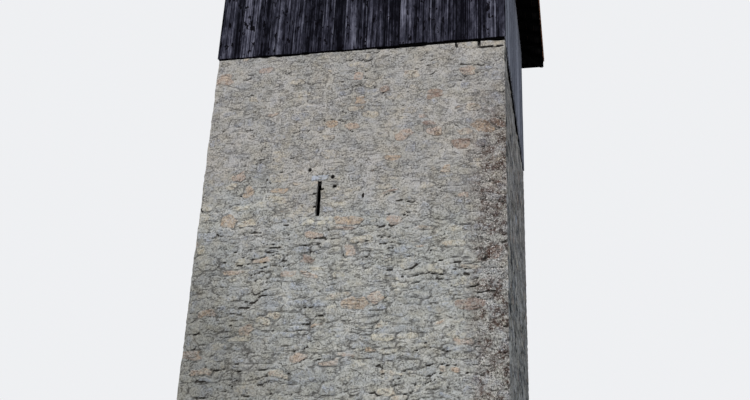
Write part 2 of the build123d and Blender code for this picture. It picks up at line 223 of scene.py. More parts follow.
def add_node(tree, kind, *values, out=None, stops=(), **settings):
    """Adds a node and returns its first output in use, or the one that out names. Values go to the inputs in
    use, in their order. A setting is a property of the node, or else the input of that name. Sockets are
    linked, hex colours are made linear, and a colour ramp gets its stops in rising order."""
    made = tree.nodes.new("ShaderNode" + kind)
    named = []
    for key, value in (USUAL.get(kind, {}) | settings).items():
        if hasattr(made, key):
            setattr(made, key, value)
        else:
            named.append((made.inputs[key], value))
    used = [socket for socket in made.inputs if socket.enabled]
    for socket, value in [*named, *zip(used, values)]:
        if isinstance(value, bpy.types.NodeSocket):
            tree.links.new(value, socket)
        else:
            socket.default_value = linear(value) if isinstance(value, str) else value
    for k, (position, colour) in enumerate(stops):
        if k == 0:
            made.color_ramp.elements.remove(made.color_ramp.elements[1])
            stop = made.color_ramp.elements[0]
        else:
            stop = made.color_ramp.elements.new(position)
        stop.position = position
        stop.color = linear(colour)
    return made.outputs[out] if out else next(socket for socket in made.outputs if socket.enabled)


def new_material(name, **shader_values):
    """A material, its shader and add_node for its tree; the values go straight onto the shader's sockets."""
    material = bpy.data.materials.new(name)
    material.use_nodes = True
    shader = material.node_tree.nodes["Principled BSDF"]
    for key, value in shader_values.items():
        shader.inputs[key.replace("_", " ")].default_value = value
    return material, shader, partial(add_node, material.node_tree)


def connect(shader, colour, height, strength, distance):
    """Links a colour to the shader, and a height field as bump with a strength and a depth in metres."""
    tree = shader.id_data
    tree.links.new(colour, shader.inputs["Base Color"])
    bump = add_node(tree, "Bump", Height=height, Strength=strength, Distance=distance)
    tree.links.new(bump, shader.inputs["Normal"])


# %% [markdown]
# Real rubble is laid in rough courses. The mason picks flat stones for the beds, fills gaps with thin ones
# and keeps large ones for the corners. The list below is laid the same way: course by course from the
# ground, with a random length and rise for each stone. A regular brick pattern or a plain Voronoi texture
# would show at once that no mason laid it.

# %% Kinds of stone
STONE_KINDS = {"pale": 0.0, "grey": 0.10, "buff": 0.22, "olive": 0.34, "blue": 0.47, "cream": 0.57,
               "straw": 0.65, "rose": 0.76, "ochre": 0.88, "rust": 0.98}
KIND_SHARES = [0.0, 0.35, 0.28, 0.13, 0.06, 0.08, 0.05, 0.03, 0.01, 0.01]
KIND_SPREAD = 0.03
print(len(STONE_KINDS), "kinds of stone, most often", list(STONE_KINDS)[np.argmax(KIND_SHARES)])

# %% Corner stones
CORNER_RISE, CORNER_LENGTH, LENGTH_SPREAD = (0.15, 0.36), (0.26, 0.52), (0.8, 1.2)


def corner_stones(corner, end):
    """Corner stones on one wall as rows of s, height, half length and half rise. Both walls share the beds,
    and each stone is long on one of them and short on the other."""
    draw = np.random.default_rng(500 + corner)
    beds = np.concatenate([[0.0], np.cumsum(draw.uniform(*CORNER_RISE, 60))])
    beds = beds[beds < MASONRY_TOP + CORNER_RISE[1]]
    middle, half_rise = (beds[1:] + beds[:-1]) / 2, np.diff(beds) / 2
    turn = (np.arange(len(middle)) + (end > 0)) % 2
    length = np.where(turn == 0, *CORNER_LENGTH) * draw.uniform(*LENGTH_SPREAD, len(middle))
    return np.stack([end * (HALF - length / 2), middle, length / 2, half_rise], axis=-1)


print("stones on one corner:", len(corner_stones(0, 1)))

# %% Courses between the corners
COURSE_RISE = ((0.11, 0.23), (0.13, 0.26))
TALLER_FROM, TALLER_OVER = 3.5, 3.0
FIRST_BED, FIRST_SHIFT = -0.05, 0.4
STONE_LENGTH = (0.20, 0.62)
BED_WANDER, RISE_SPREAD = 0.25, (0.75, 1.25)
SPLIT_RISE, SPLIT_SHARE, SPLIT_SHIFT = 0.17, 0.15, 0.06


def field_stones(draw):
    """Stones between the corners, course by course, in slightly taller courses higher up; tall stones are
    often two thin ones instead."""
    rows, bed = [], FIRST_BED
    while bed < MASONRY_TOP:
        share = smooth((bed - TALLER_FROM) / TALLER_OVER)
        rise = draw.uniform(*((1 - share) * low + share * high for low, high in zip(*COURSE_RISE)))
        s = -HALF - draw.uniform(0, FIRST_SHIFT)
        while s < HALF:
            length = draw.uniform(*STONE_LENGTH)
            middle = bed + rise / 2 + BED_WANDER * rise * draw.uniform(-1, 1)
            half_rise = rise / 2 * draw.uniform(*RISE_SPREAD)
            if rise > SPLIT_RISE and draw.uniform() < SPLIT_SHARE:
                shift = draw.uniform(-SPLIT_SHIFT, SPLIT_SHIFT)
                rows.append((s + length / 2, middle + rise / 4, length / 2, half_rise / 2))
                rows.append((s + length / 2 + shift, middle - rise / 4, length / 2, half_rise / 2))
            else:
                rows.append((s + length / 2, middle, length / 2, half_rise))
            s += length
        bed += rise
    return np.array(rows, dtype=float)


trial = field_stones(np.random.default_rng(0))
print("a trial wall has", len(trial), "stones, the longest", round(2 * trial[:, 2].max(), 2))

# %% [markdown]
# Some stones on the front stand out in colour, and the eye knows the wall by them, so they are set one
# by one: warm ones above the loophole and beside it, rusty ones towards the right edge, and two large cream
# blocks at the top right. The stones that were laid where they now sit are taken out.

# %% Stones set one by one
# mortar and neighbours hide the rim of each, so they are laid a little larger than they show
SET_LARGER = 1.12
# place along the wall, height, half length, half rise, kind
SET_STONES = [
    (0.11, 7.97, 0.18, 0.12, "ochre"), (-0.03, 7.35, 0.20, 0.11, "rose"), (-0.51, 7.37, 0.12, 0.10, "ochre"),
    (1.27, 7.67, 0.20, 0.12, "cream"), (1.87, 8.01, 0.20, 0.11, "rust"), (1.25, 7.03, 0.21, 0.12, "rose"),
    (1.93, 7.10, 0.19, 0.12, "rose"), (2.97, 7.10, 0.27, 0.14, "ochre"), (2.49, 6.73, 0.17, 0.12, "rust"),
    (-1.73, 6.57, 0.15, 0.14, "cream"), (-2.60, 6.10, 0.16, 0.16, "rose"), (-1.68, 6.13, 0.18, 0.17, "cream"),
    (2.11, 6.13, 0.10, 0.13, "ochre"), (3.24, 6.20, 0.25, 0.15, "cream"), (-2.70, 5.07, 0.20, 0.16, "ochre"),
    (0.00, 4.95, 0.29, 0.12, "ochre"), (1.03, 4.93, 0.15, 0.12, "rose"), (2.03, 5.00, 0.19, 0.17, "olive"),
    (2.40, 4.63, 0.18, 0.10, "cream"), (-0.83, 4.05, 0.20, 0.10, "rust"), (0.30, 3.02, 0.30, 0.14, "ochre"),
    (2.70, 2.93, 0.30, 0.12, "rust"), (-2.07, 2.50, 0.18, 0.13, "rose"), (-0.93, 1.93, 0.21, 0.10, "rose"),
    (1.37, 3.93, 0.18, 0.10, "cream"), (3.17, 4.13, 0.16, 0.12, "rust"), (0.70, 3.13, 0.16, 0.13, "rose"),
    (2.03, 3.83, 0.25, 0.12, "cream"), (-1.02, 5.27, 0.22, 0.10, "cream"), (0.70, 8.23, 0.13, 0.08, "rust"),
    (-1.63, 3.03, 0.26, 0.16, "blue"), (-0.97, 2.70, 0.19, 0.12, "blue"), (-3.25, 4.03, 0.30, 0.15, "buff"),
    (2.62, 9.30, 0.25, 0.10, "cream"), (3.19, 9.30, 0.29, 0.10, "cream"), (0.10, 8.97, 0.26, 0.09, "cream"),
    (-2.36, 5.76, 0.12, 0.10, "ochre"),
]
print("stones set by hand:", len(SET_STONES))

# %% Lay the stones
CLEAR_ALONG, CLEAR_UP = 0.06, 0.03


def clear_of(stones, others, reach=0.75):
    """The stones whose middles lie outside all the others' outlines, taken at a part of their size plus a
    small distance."""
    away_s = np.abs(stones[:, None, 0] - others[None, :, 0]) > others[None, :, 2] * reach + CLEAR_ALONG
    away_z = np.abs(stones[:, None, 1] - others[None, :, 1]) > others[None, :, 3] * reach + CLEAR_UP
    return stones[(away_s | away_z).all(axis=1)]


def lay_stones(side):
    """All stones of one wall: s, height, half length, half rise and the number of their kind."""
    quarter = SIDES[side]
    draw = np.random.default_rng(40 + quarter)
    field = field_stones(draw)
    corners = np.concatenate([corner_stones((quarter - 1) % 4, -1), corner_stones(quarter, 1)])
    stones = np.concatenate([clear_of(field, corners, 1.0), corners])
    tones = draw.choice(list(STONE_KINDS.values()), len(stones), p=KIND_SHARES)
    tones = tones + draw.uniform(-KIND_SPREAD, KIND_SPREAD, len(stones))
    stones = np.column_stack([stones, tones])
    if side == "front":
        chosen = np.array([(s, z, SET_LARGER * half_length, SET_LARGER * half_rise, STONE_KINDS[kind])
                           for s, z, half_length, half_rise, kind in SET_STONES])
        stones = np.concatenate([clear_of(stones, chosen), chosen])
    return stones


stones_by_side = {side: lay_stones(side) for side in SIDES}
print("stones laid:", {side: len(stones) for side, stones in stones_by_side.items()})

# %% [markdown]
# Each point of a wall's face asks which stone it belongs to. A stone is a rounded rectangle: the distance
# from its middle, measured with a power higher than two, is 1 on its outline. The difference between the
# nearest and the second nearest stone gives the joint between them. The points are first pushed about by
# noise, a few centimetres over the length of a stone and less over a hand's width, so that outlines are
# broken and uneven.

# %% Which stone a point belongs to
STONE_REACH = 1.16
SEARCH_ALONG, SEARCH_UP, SEARCH_MORE = 1.9, 2.3, 0.1


def stone_field(s, z, s_lines, z_lines, stones, seed):
    """For a grid of points: the distance inside the nearest stone's edge in metres, negative in the mortar,
    how far below that stone's middle the point lies, from -1 to 1, and the stone's number."""
    bent_s = s + 0.075 * noise(s, z, 0.35, seed, 2) + 0.026 * noise(s, z, 0.09, seed + 3, 2)
    bent_z = z + 0.115 * noise(s, z, 0.50, seed + 5, 2) + 0.034 * noise(s, z, 0.14, seed + 8, 2)
    nearest, second = np.full(s.shape, 4.0), np.full(s.shape, 4.0)
    number = np.zeros(s.shape, dtype=int)
    # a stone leans to one side or the other, and its power runs from an ellipse's 2 to a boxy 3.8
    lean = 0.60 * noise(stones[:, 0], stones[:, 1], 0.11, seed + 11, 1)
    power = 2.0 + 1.8 * np.abs(noise(stones[:, 0], stones[:, 1], 0.07, seed + 17, 1))
    for k, (ks, kz, half_length, half_rise) in enumerate(stones[:, :4]):
        # only the points near a stone can belong to it
        wide, tall = SEARCH_ALONG * half_length + SEARCH_MORE, SEARCH_UP * half_rise + SEARCH_MORE
        i0, i1 = np.searchsorted(s_lines, [ks - wide, ks + wide])
        j0, j1 = np.searchsorted(z_lines, [kz - tall, kz + tall])
        window = np.s_[j0:j1, i0:i1]
        ds, dz = bent_s[window] - ks, bent_z[window] - kz
        across = (ds + lean[k] * dz) / half_length
        up = (dz - lean[k] * half_rise / half_length * ds) / half_rise
        reach = (np.abs(across) ** power[k] + np.abs(up) ** power[k]) ** (1 / power[k])
        closer = reach < nearest[window]
        second[window] = np.where(closer, nearest[window], np.minimum(second[window], reach))
        nearest[window] = np.where(closer, reach, nearest[window])
        number[window] = np.where(closer, k, number[window])
    half_rise = stones[number, 3]
    edge = np.minimum(STONE_REACH - nearest, (second - nearest) / 2) * half_rise
    below = np.clip((stones[number, 1] - bent_z) / half_rise, -1.5, 1.5)
    return edge, below, number


# %% [markdown]
# High on this wall the mortar lies almost flush and laps over the stones, so that most of them show only as
# a soft outline. Lower down it has washed out of the beds: the stones stand free and throw short dark
# shadows. Two fields say this for every point: how wide the mortar laps over the stone's edge, and how far
# it is washed out.

# %% Stone faces and gaps
def renewed(s, z):
    """1 low on the right, where the mortar was renewed and few gaps are left, fading out over a metre."""
    return smooth((s - 1.2) / 0.9) * smooth((2.9 - z) / 0.9)


def stone_faces(s, z, edge, own_s, own_z, wash, seed):
    """How far the stones stand proud: each by its own lift and lean, taken by noise from the place of its
    middle, less the rounding of its edge over 35 mm."""
    lift = 0.011 * noise(own_s, own_z, 0.13, seed + 27, 1)
    nod = 0.11 * noise(own_s, own_z, 0.17, seed + 31, 1) * (z - own_z)
    turn = 0.05 * noise(own_s, own_z, 0.21, seed + 33, 1) * (s - own_s)
    rounded = -0.012 * (1 - smooth(edge / 0.035)) * (0.25 + 0.30 * wash)
    return (lift + nod + turn) * (0.40 + 0.25 * wash) + rounded + 0.003


def open_gaps(s, z, edge, below, wash, seed):
    """1 in the gaps along the lower edges of stones, in busy areas more than in others, and 0 elsewhere. A
    gap is 5 mm wide on either side where it starts and 25 mm where it is fully open."""
    busy = 0.80 * noise(s, z, 0.9, seed + 47, 1)
    open_share = noise(s, z * 1.5, 0.23, seed + 43, 3) + busy + 0.08 * wash - 0.35 * renewed(s, z)
    slot = smooth((open_share - 0.37) / 0.14)
    narrow = smooth((np.abs(edge + 0.002) - 0.001) / (0.005 + 0.020 * slot))
    gap = smooth((below - 0.25) / 0.4) * (1 - narrow) * slot
    return gap * (0.55 + 0.45 * wash)


# %% Relief of the wall face
def wall_relief(s, z, edge, below, number, stones, shown, seed):
    """How far each point stands proud of the wall's plane in metres, and the values for the material: bare
    stone, dark joint, open gap and how far the mortar is washed out. The last stones, by number shown, are
    hardly covered by mortar anywhere."""
    # the mortar is washed out below 5 m or so, and laps over a stone's edge by 13 to 31 mm, more or less
    wash = smooth((5.3 - z) / 2.6 + 0.5 + 0.5 * noise(s, z, 1.1, seed + 20, 2))
    cover = 0.031 - 0.018 * wash + 0.038 * noise(s, z, 0.45, seed + 23, 2)
    chosen = number >= len(stones) - shown
    bare = np.where(chosen, 1.3 * (edge - 0.008), edge - cover)
    # stone stands proud where it is bare, and mortar lies 2 to 7 mm back
    face = stone_faces(s, z, edge, stones[number, 0], stones[number, 1], wash, seed)
    bed = -0.002 - 0.005 * wash
    shows = smooth((bare + 0.006) / 0.014)
    # some joints are fine cracks 10 mm deep, and gaps are 28 mm deep
    crack = smooth((noise(s, z, 0.24, seed + 50, 2) - 0.08 + 0.12 * wash) / 0.20)
    joint = crack * (1 - smooth(np.abs(edge) / 0.014)) * (0.6 + 0.4 * wash)
    gap = open_gaps(s, z, edge, below, wash, seed)
    rough = 0.0075 * noise(s, z * 1.3, 0.10, seed + 37, 3)
    proud = bed * (1 - shows) + face * shows + rough - 0.010 * joint - 0.028 * gap
    return proud, bare, joint, gap, wash


# %% [markdown]
# The walls meet at the corners in a worn, uneven arris. Both walls use the same line there, so no slit
# opens between them: towards its end each wall's face is led onto that line.

# %% The corner line
CORNER_BAND = 0.085
CORNER_WORN, CORNER_LEAST = 0.018, 0.002


def lead_to_corners(s, z, proud, quarter):
    """Moves the points near both ends onto the corner lines, blending over a narrow band. A corner line is
    the arris worn back by a slow wander and by chips."""
    for end, corner in ((-1, (quarter - 1) % 4), (1, quarter)):
        wander, chips = (size * noise(z, 0 * z, length, seed + corner, 2)
                         for size, length, seed in ((0.012, 0.55, 90), (0.010, 0.12, 95)))
        worn = np.maximum(CORNER_WORN + (wander + chips), CORNER_LEAST)
        weight = smooth((end * s - (HALF - CORNER_BAND)) / CORNER_BAND)
        s = s - end * weight * worn
        proud = proud * (1 - weight) - worn * weight
    return s, proud


# %% [markdown]
# The wall is a closed body: the fine outer face, and plain faces for the rest. An opening is left out of
# the fine face, after moving the nearest grid lines onto its edges, and a tunnel leads from there to the
# room. The loophole is a straight slot first and then splays open, so that a defender can move behind a
# slot that is too narrow to hit. The doorway is wider behind the place where the door shuts.

# %% Openings
def opening(middle, half, low, high, sections):
    """An opening: its edges on the outer face and the rings behind it, each as depth, half width and top."""
    return {"s": (middle - half, middle + half), "z": (low, high), "middle": middle, "sections": sections}


LOOPHOLE = opening(LOOPHOLE_PLACE, LOOPHOLE_HALF, LOOPHOLE_SILL, LOOPHOLE_HEAD, [
    (LOOPHOLE_THROAT, LOOPHOLE_HALF, LOOPHOLE_HEAD),
    (HALF - INNER_HIGH, LOOPHOLE_INNER_HALF, LOOPHOLE_HEAD)])
DOORWAY = opening(0.0, DOOR_HALF, 0.0, DOOR_HEAD, [
    (DOOR_REVEAL, DOOR_HALF, DOOR_HEAD),
    (DOOR_REVEAL, DOOR_INNER_HALF, DOOR_INNER_HEAD),
    (HALF - INNER_LOW, DOOR_INNER_HALF, DOOR_INNER_HEAD)])


def snapped(length, step, values, start=0.0):
    """Evenly spaced grid lines with the nearest one moved onto each value."""
    lines = np.linspace(start, start + length, round(length / step) + 1)
    for value in values:
        lines[np.argmin(np.abs(lines - value))] = value
    return lines


def hole_lines(lines, edges):
    """Numbers of the grid lines at an opening's two edges."""
    return tuple(int(np.argmin(np.abs(lines - edge))) for edge in edges)


# %% [markdown]
# The body's faces share the fine face's border points, so that it has no cracks. The plain faces are single
# polygons: top, mitred ends with the step of the ledge inside, the ledge, the room side round an opening,
# and the underside, which the doorway divides.

# %% Building a wall
class WallBody:
    """Points and faces of one wall. The fine face's points come first, row by row from the ground."""

    def __init__(self, quarter, points):
        self.quarter = quarter
        self.rows, self.columns = points.shape[:2]
        self.points = points.reshape(-1, 3).tolist()
        corner = np.arange(self.rows - 1)[:, None] * self.columns + np.arange(self.columns - 1)
        self.quads = np.stack([corner, corner + 1, corner + self.columns + 1, corner + self.columns], axis=-1)
        self.keep = np.ones(corner.shape, dtype=bool)
        self.plain = []

    def at(self, column, row):
        """Number of a point of the fine face, counted from the end when negative."""
        return (row % self.rows) * self.columns + column % self.columns

    def behind(self, along, out, height):
        """Adds a point behind the face and returns its number."""
        self.points.append(place(self.quarter, along, out, height).tolist())
        return len(self.points) - 1

    def tunnel(self, hole, columns, rows):
        """Cuts an opening and lines it; returns its rings of points, corners in the order left foot, right
        foot, right head, left head."""
        (i0, i1), (j0, j1) = columns, rows
        self.keep[j0:j1, i0:i1] = False
        edges = [[self.at(i, j0) for i in range(i0, i1 + 1)],
                 [self.at(i1, j) for j in range(j0, j1 + 1)],
                 [self.at(i, j1) for i in range(i1, i0 - 1, -1)],
                 [self.at(i0, j) for j in range(j1, j0 - 1, -1)]]
        rings = [[self.behind(hole["middle"] + end * half, HALF - depth, height)
                  for end, height in ((-1, hole["z"][0]), (1, hole["z"][0]), (1, top), (-1, top))]
                 for depth, half, top in hole["sections"]]
        first = 1 if hole["z"][0] == 0.0 else 0
        for k in range(first, 4):
            after = (k + 1) % 4
            self.plain.append(edges[k][::-1] + [rings[0][k], rings[0][after]])
            for near, far in zip(rings, rings[1:]):
                self.plain.append([near[after], near[k], far[k], far[after]])
        return rings

    def room_side(self, loophole, doorway):
        """The faces that look into the room, the top, the mitred ends and the underside."""
        rooms = [(INNER_LOW, 0.0), (INNER_LOW, LEDGE), (INNER_HIGH, LEDGE), (INNER_HIGH, MASONRY_TOP)]
        left, right = ([self.behind(end * out, out, height) for out, height in rooms] for end in (-1, 1))
        self.plain.append([self.at(0, j) for j in range(self.rows)] + left[::-1])
        self.plain.append([self.at(-1, j) for j in range(self.rows - 1, -1, -1)] + right)
        self.plain.append([self.at(i, -1) for i in range(self.columns)] + [right[3], left[3]])
        self.plain.append([left[1], left[2], right[2], right[1]])
        corners = [left[2], right[2], right[3], left[3]]
        inner = loophole[-1]
        for k in range(4):
            after = (k + 1) % 4
            self.plain.append([corners[after], corners[k], inner[k], inner[after]])
        foot = [self.at(i, 0) for i in range(self.columns)]
        if doorway is None:
            self.plain.append([right[0], left[0], left[1], right[1]])
            self.plain.append(foot[::-1] + [left[0], right[0]])
            return
        rings, (i0, i1) = doorway
        inner = rings[-1]
        self.plain.append([inner[0], left[0], left[1], inner[3]])
        self.plain.append([inner[3], left[1], right[1], inner[2]])
        self.plain.append([inner[2], right[1], right[0], inner[1]])
        self.plain.append(foot[i0::-1] + [left[0]] + [ring[0] for ring in rings[::-1]])
        self.plain.append([ring[1] for ring in rings] + [right[0]] + foot[:i1 - 1:-1])

    def faces(self):
        """All faces of the body."""
        return self.quads[self.keep].tolist() + self.plain


# %% [markdown]
# Lime mortar is pale, matt and sandy. The stones are field stones of mixed kinds: mostly grey and buff,
# some warm, a few rusty. Both weathered to nearly one colour here, so the difference is slight, and the
# wall reads by its dark joints. The mesh carries the distance to the stone's edge, so the border between
# stone and mortar is drawn in the material, with noise finer than the mesh. Real sand is 2 to 4 mm wide.
# From more than 20 m away that would be an even grey, so sand and grit are drawn ten times as coarse here,
# 24 to 30 to the metre.

# %% Stone over mortar
def stone_over_mortar(add, where, point, ragged, sand):
    """Colour of stone or mortar: stone shows inside its ragged edge, less a thin film of lime, its colour
    goes by its kind, and both are sandy where little stone is bare."""
    # the film lies in patches of 120 mm
    film = add("MapRange", add("TexNoise", where, 8.0, 6.0, 0.75), 0.40, 0.66)
    film = add("Math", film, add("MapRange", point["bare"], 0.20, 0.14), operation="MULTIPLY")
    inside = add("MapRange", ragged, 0.018, 0.040)
    shows = add("Math", film, -0.75, inside, operation="MULTIPLY_ADD", use_clamp=True)
    # one stone changes colour over 110 mm and is veined and pitted every 80 mm
    kind = add("Math", add("TexNoise", where, 9.0, 5.0, 0.7), 0.5, point["tone"], operation="MULTIPLY_ADD")
    stone = add("ValToRGB", add("Math", kind, 0.25, operation="SUBTRACT"), stops=[
        (0.00, "#B4BAC5"), (0.10, "#AAACAC"), (0.22, "#B5B5B1"), (0.34, "#B0B0A9"), (0.47, "#A9ADB1"),
        (0.57, "#C1BFB8"), (0.65, "#CBC7B9"), (0.76, "#C0AFA4"), (0.88, "#C2B09A"), (0.98, "#9A8880")])
    veins = add("ValToRGB", add("TexNoise", where, 13.0, 7.0, 0.75), stops=[
        (0.30, "#A5A4A3"), (0.47, "#DCDBDA"), (0.64, "#FFFFFF")])
    stone = add("Mix", 0.9, stone, veins, blend_type="MULTIPLY")
    # each batch of mortar fills about 700 mm, and its sand is coarser in some areas of 400 mm than in others
    mortar = add("ValToRGB", add("TexNoise", where, 1.5, 6.0, 0.62), stops=[
        (0.30, "#9D9E9C"), (0.45, "#A7A8A5"), (0.58, "#B0B0AD"), (0.72, "#B9B8B4")])
    speck = add("ValToRGB", sand, stops=[
        (0.36, "#4A4947"), (0.43, "#B9B8B6"), (0.50, "#ECECEB"), (0.62, "#FFFFFF")])
    coarse = add("MapRange", add("TexNoise", where, 2.6, 3.0), 0.40, 0.60, 0.6, 1.0,
                 interpolation_type="LINEAR")
    sandy = add("Math", coarse, add("MapRange", point["bare"], 0.45, 0.15), operation="MULTIPLY")
    return add("Mix", sandy, add("Mix", shows, mortar, stone), speck, blend_type="MULTIPLY")


print("stone colours by kind:", ", ".join(STONE_KINDS))

# %% [markdown]
# The eye reads the wall by its joints, and the mesh is too coarse for cracks a finger wide. A noise passes
# its middle value along winding lines. Dividing by how fast the noise changes there keeps such a line
# equally wide everywhere, so it can stand for the seams where one day's mortar meets the next, painted
# dark as cracks with painted shade in them.

# %% Joints and seams
def seams(add, where, length, rise, width, seed):
    """1 on winding cracks that run mostly level. A crack lies where a noise passes its middle value; the
    distance to it is the noise's offset from that value over how fast the noise changes with height. The
    length and rise are those of the shapes between the cracks and the width is a crack's own, in metres."""
    step = 0.01
    heights = []
    for shift in (0.0, step):
        moved = add("VectorMath", where, (seed, seed, seed + shift), operation="ADD")
        flat = add("VectorMath", moved, (1 / length, 1 / length, 1 / rise), operation="MULTIPLY")
        heights.append(add("TexNoise", flat, 1.0, 4.0, 0.5))
    offset = add("Math", heights[0], 0.5, operation="SUBTRACT")
    change = add("Math", heights[1], heights[0], operation="SUBTRACT")
    away = add("Math", add("Math", offset, change, operation="DIVIDE"), operation="ABSOLUTE")
    line = add("MapRange", away, 0.7 * width / step, 0.3 * width / step)
    part = add("MapRange", add("TexNoise", moved, 6.5, 3.0), 0.45, 0.56)
    return add("Math", line, part, operation="MULTIPLY")


def dark_lines(add, where, point, ragged):
    """1 on dark lines: the mesh's joints, winding seams, and here and there a painted shadow along the
    outlines of bare stones, where the mortar's edge would cast it, more faintly where the mortar is washed
    out."""
    offset = add("Math", add("Math", ragged, 0.026, operation="SUBTRACT"), operation="ABSOLUTE")
    here = add("MapRange", add("TexNoise", where, 2.8, 3.0), 0.46, 0.55)
    outline = add("Math", add("MapRange", offset, 0.010, 0.004), here, operation="MULTIPLY")
    strength = add("Math", point["worn"], -0.50, 0.85, operation="MULTIPLY_ADD")
    cracks = seams(add, where, 0.55, 0.20, 0.022, 3.0)
    both = add("Math", outline, strength, cracks, operation="MULTIPLY_ADD")
    return add("Math", point["joint"], both, operation="ADD", use_clamp=True)


# %% [markdown]
# Water from the eave, and on the right wall lichen with painted shade, lie over stones and mortar alike, so
# they come after them. The mesh carries how much of each a point has, and the noise here only breaks it up
# into streaks, spots and level patches.

# %% Stain, lichen and painted shade
def stained(add, where, surface, stain):
    """Colour under the eave's drip: brown patches of 70 mm in streaks of 300 mm, dark grit, and pale grains
    of sand that were washed clean."""
    streaks = add("MapRange", add("TexNoise", where, 3.5, 3.0), 0.43, 0.54, 0.05, 1.10,
                  interpolation_type="LINEAR")
    patches = add("MapRange", add("TexNoise", where, 15.0, 6.0, 0.85), 0.45, 0.55)
    rubbed = add("Math", streaks, patches, operation="MULTIPLY")
    rubbed = add("Math", stain, rubbed, operation="MULTIPLY", use_clamp=True)
    surface = add("Mix", rubbed, surface, "#7F6962", blend_type="MULTIPLY")
    grit = add("ValToRGB", add("TexNoise", where, 30.0, 3.0, 0.8), stops=[
        (0.40, "#2C2426"), (0.46, "#F1ECEB"), (0.51, "#FFFFFF")])
    surface = add("Mix", stain, surface, grit, blend_type="MULTIPLY")
    grains = add("MapRange", add("TexNoise", where, 26.0, 4.0, 0.8), 0.55, 0.65)
    return add("Mix", add("Math", stain, grains, operation="MULTIPLY"), surface, "#C9C3BE")


def lichen_and_painted_shade(add, where, surface, lichen_and_shade):
    """Colour on the side that gets no sun: dark lichen and painted shade in patches 600 mm long and 220 mm
    high, darker on some stones than on others, and stones painted paler where the value is below zero, as
    faces that catch more light."""
    # lichen and painted shade: the darker patches stand for stones that get less light
    level = add("VectorMath", where, (1.7, 1.7, 4.5), operation="MULTIPLY")
    lichen = add("ValToRGB", add("TexNoise", level, 1.0, 5.0, 0.65), stops=[
        (0.40, "#414850"), (0.48, "#A3A9AF"), (0.55, "#F4F7FC")])
    surface = add("Mix", lichen_and_shade, surface, lichen, blend_type="MULTIPLY")
    # painted light: paler stones stand for faces that get more light
    clean = add("MapRange", lichen_and_shade, 0.0, -1.0, 0.0, 0.45, interpolation_type="LINEAR")
    return add("Mix", clean, surface, "#D3D7D9")


# %% Rubble masonry
def masonry_material():
    """Rubble in lime mortar. The mesh says for each point how much stone is bare, its kind, joints and gaps,
    how far the mortar is washed out, the stain, lichen with painted shade, and how much darker the foot is
    painted."""
    material, shader, add = new_material("lime_mortared_rubble", Roughness=0.93, Specular_IOR_Level=0.1)
    where = add("TexCoord", out="Object")
    point = {name: add("Attribute", attribute_name=name, out="Fac")
             for name in ("bare", "joint", "gap", "tone", "stain", "worn", "lichen_and_shade", "darker_foot")}
    # the grain of the stone, drawn 36 mm wide, and of the sand, 42 mm
    fine = add("TexNoise", where, 28.0, 5.0, 0.7)
    sand = add("TexNoise", where, 24.0, 4.0, 0.75)
    ragged = add("Math", fine, 0.050, point["bare"], operation="MULTIPLY_ADD")
    surface = stone_over_mortar(add, where, point, ragged, sand)
    age = add("Mix", point["worn"], "#F6F1EF", "#FCFCFB")
    surface = add("Mix", 1.0, surface, age, blend_type="MULTIPLY")
    # the foot is painted darker towards the corner of front and left
    surface = add("Mix", point["darker_foot"], surface, "#D5D4D2", blend_type="MULTIPLY")
    # weather has tinted the wall a little cooler or warmer, over 220 mm and over 600 mm
    for patch, stops in (
            ((4.5, 5.0, 0.75), [(0.30, "#F3F6FC"), (0.44, "#FFFFFF"), (0.56, "#FFFEFA"), (0.72, "#FFF9F0")]),
            ((1.7, 4.0, 0.65), [(0.34, "#F5F7FA"), (0.46, "#FDFDFF"), (0.56, "#FFFEFC"), (0.68, "#FFFAF3")])):
        cast = add("ValToRGB", add("TexNoise", where, *patch), stops=stops)
        surface = add("Mix", 0.9, surface, cast, blend_type="MULTIPLY")
    # the dark lines are dirt in the joints and painted shade, darker where the mortar is washed out and the
    # joints lie deeper
    lines = dark_lines(add, where, point, ragged)
    depth = add("Math", point["worn"], 0.15, 0.60, operation="MULTIPLY_ADD")
    surface = add("Mix", add("Math", lines, depth, operation="MULTIPLY"), surface, "#3F3C39")
    surface = stained(add, where, surface, point["stain"])
    surface = lichen_and_painted_shade(add, where, surface, point["lichen_and_shade"])
    # gaps under the stones are painted dark inside with ragged rims, as painted shadow under the stones
    torn = add("Math", fine, point["gap"], operation="ADD")
    surface = add("Mix", add("MapRange", torn, 0.64, 0.90), surface, "#403D39")
    # holes and the gap under the boards are painted nearly black, as painted shade in them
    surface = add("Mix", add("MapRange", point["gap"], 1.0, 1.6), surface, "#1C1A18")
    height = add("Math", sand, 0.35, fine, operation="MULTIPLY_ADD")
    height = add("Math", lines, -0.55, height, operation="MULTIPLY_ADD")
    connect(shader, surface, height, 0.75, 0.016)
    return material


MASONRY = masonry_material()
print("masonry material with", len(MASONRY.node_tree.nodes), "nodes")

# %% [markdown]
# The front's right edge takes the drip from the eave and is stained brown. Small holes lie round the
# loophole, its rim is notched, and joints stand open between the large blocks under the boards; these and
# the gap under the boards are painted nearly black as painted shade. The right wall gets no sun: lichen
# darkens its stones unevenly, and painted shade makes some stones darker, some paler, and the lines round
# them dark. The foot is painted darker towards the corner of front and left. Each of these is a number for
# every point that the material reads.

# %% Age of the walls
# place along the wall, height, half width, half height
HOLES = [(-0.95, 6.24, 0.030, 0.030), (-0.40, 6.05, 0.030, 0.035), (-0.35, 5.81, 0.035, 0.030),
         (0.32, 5.55, 0.022, 0.045), (2.90, 9.34, 0.020, 0.09), (2.37, 9.34, 0.018, 0.08),
         (3.20, 9.21, 0.24, 0.009), (-0.80, 5.65, 0.05, 0.014), (-0.63, 5.74, 0.03, 0.014),
         (-0.77, 5.33, 0.03, 0.014)]


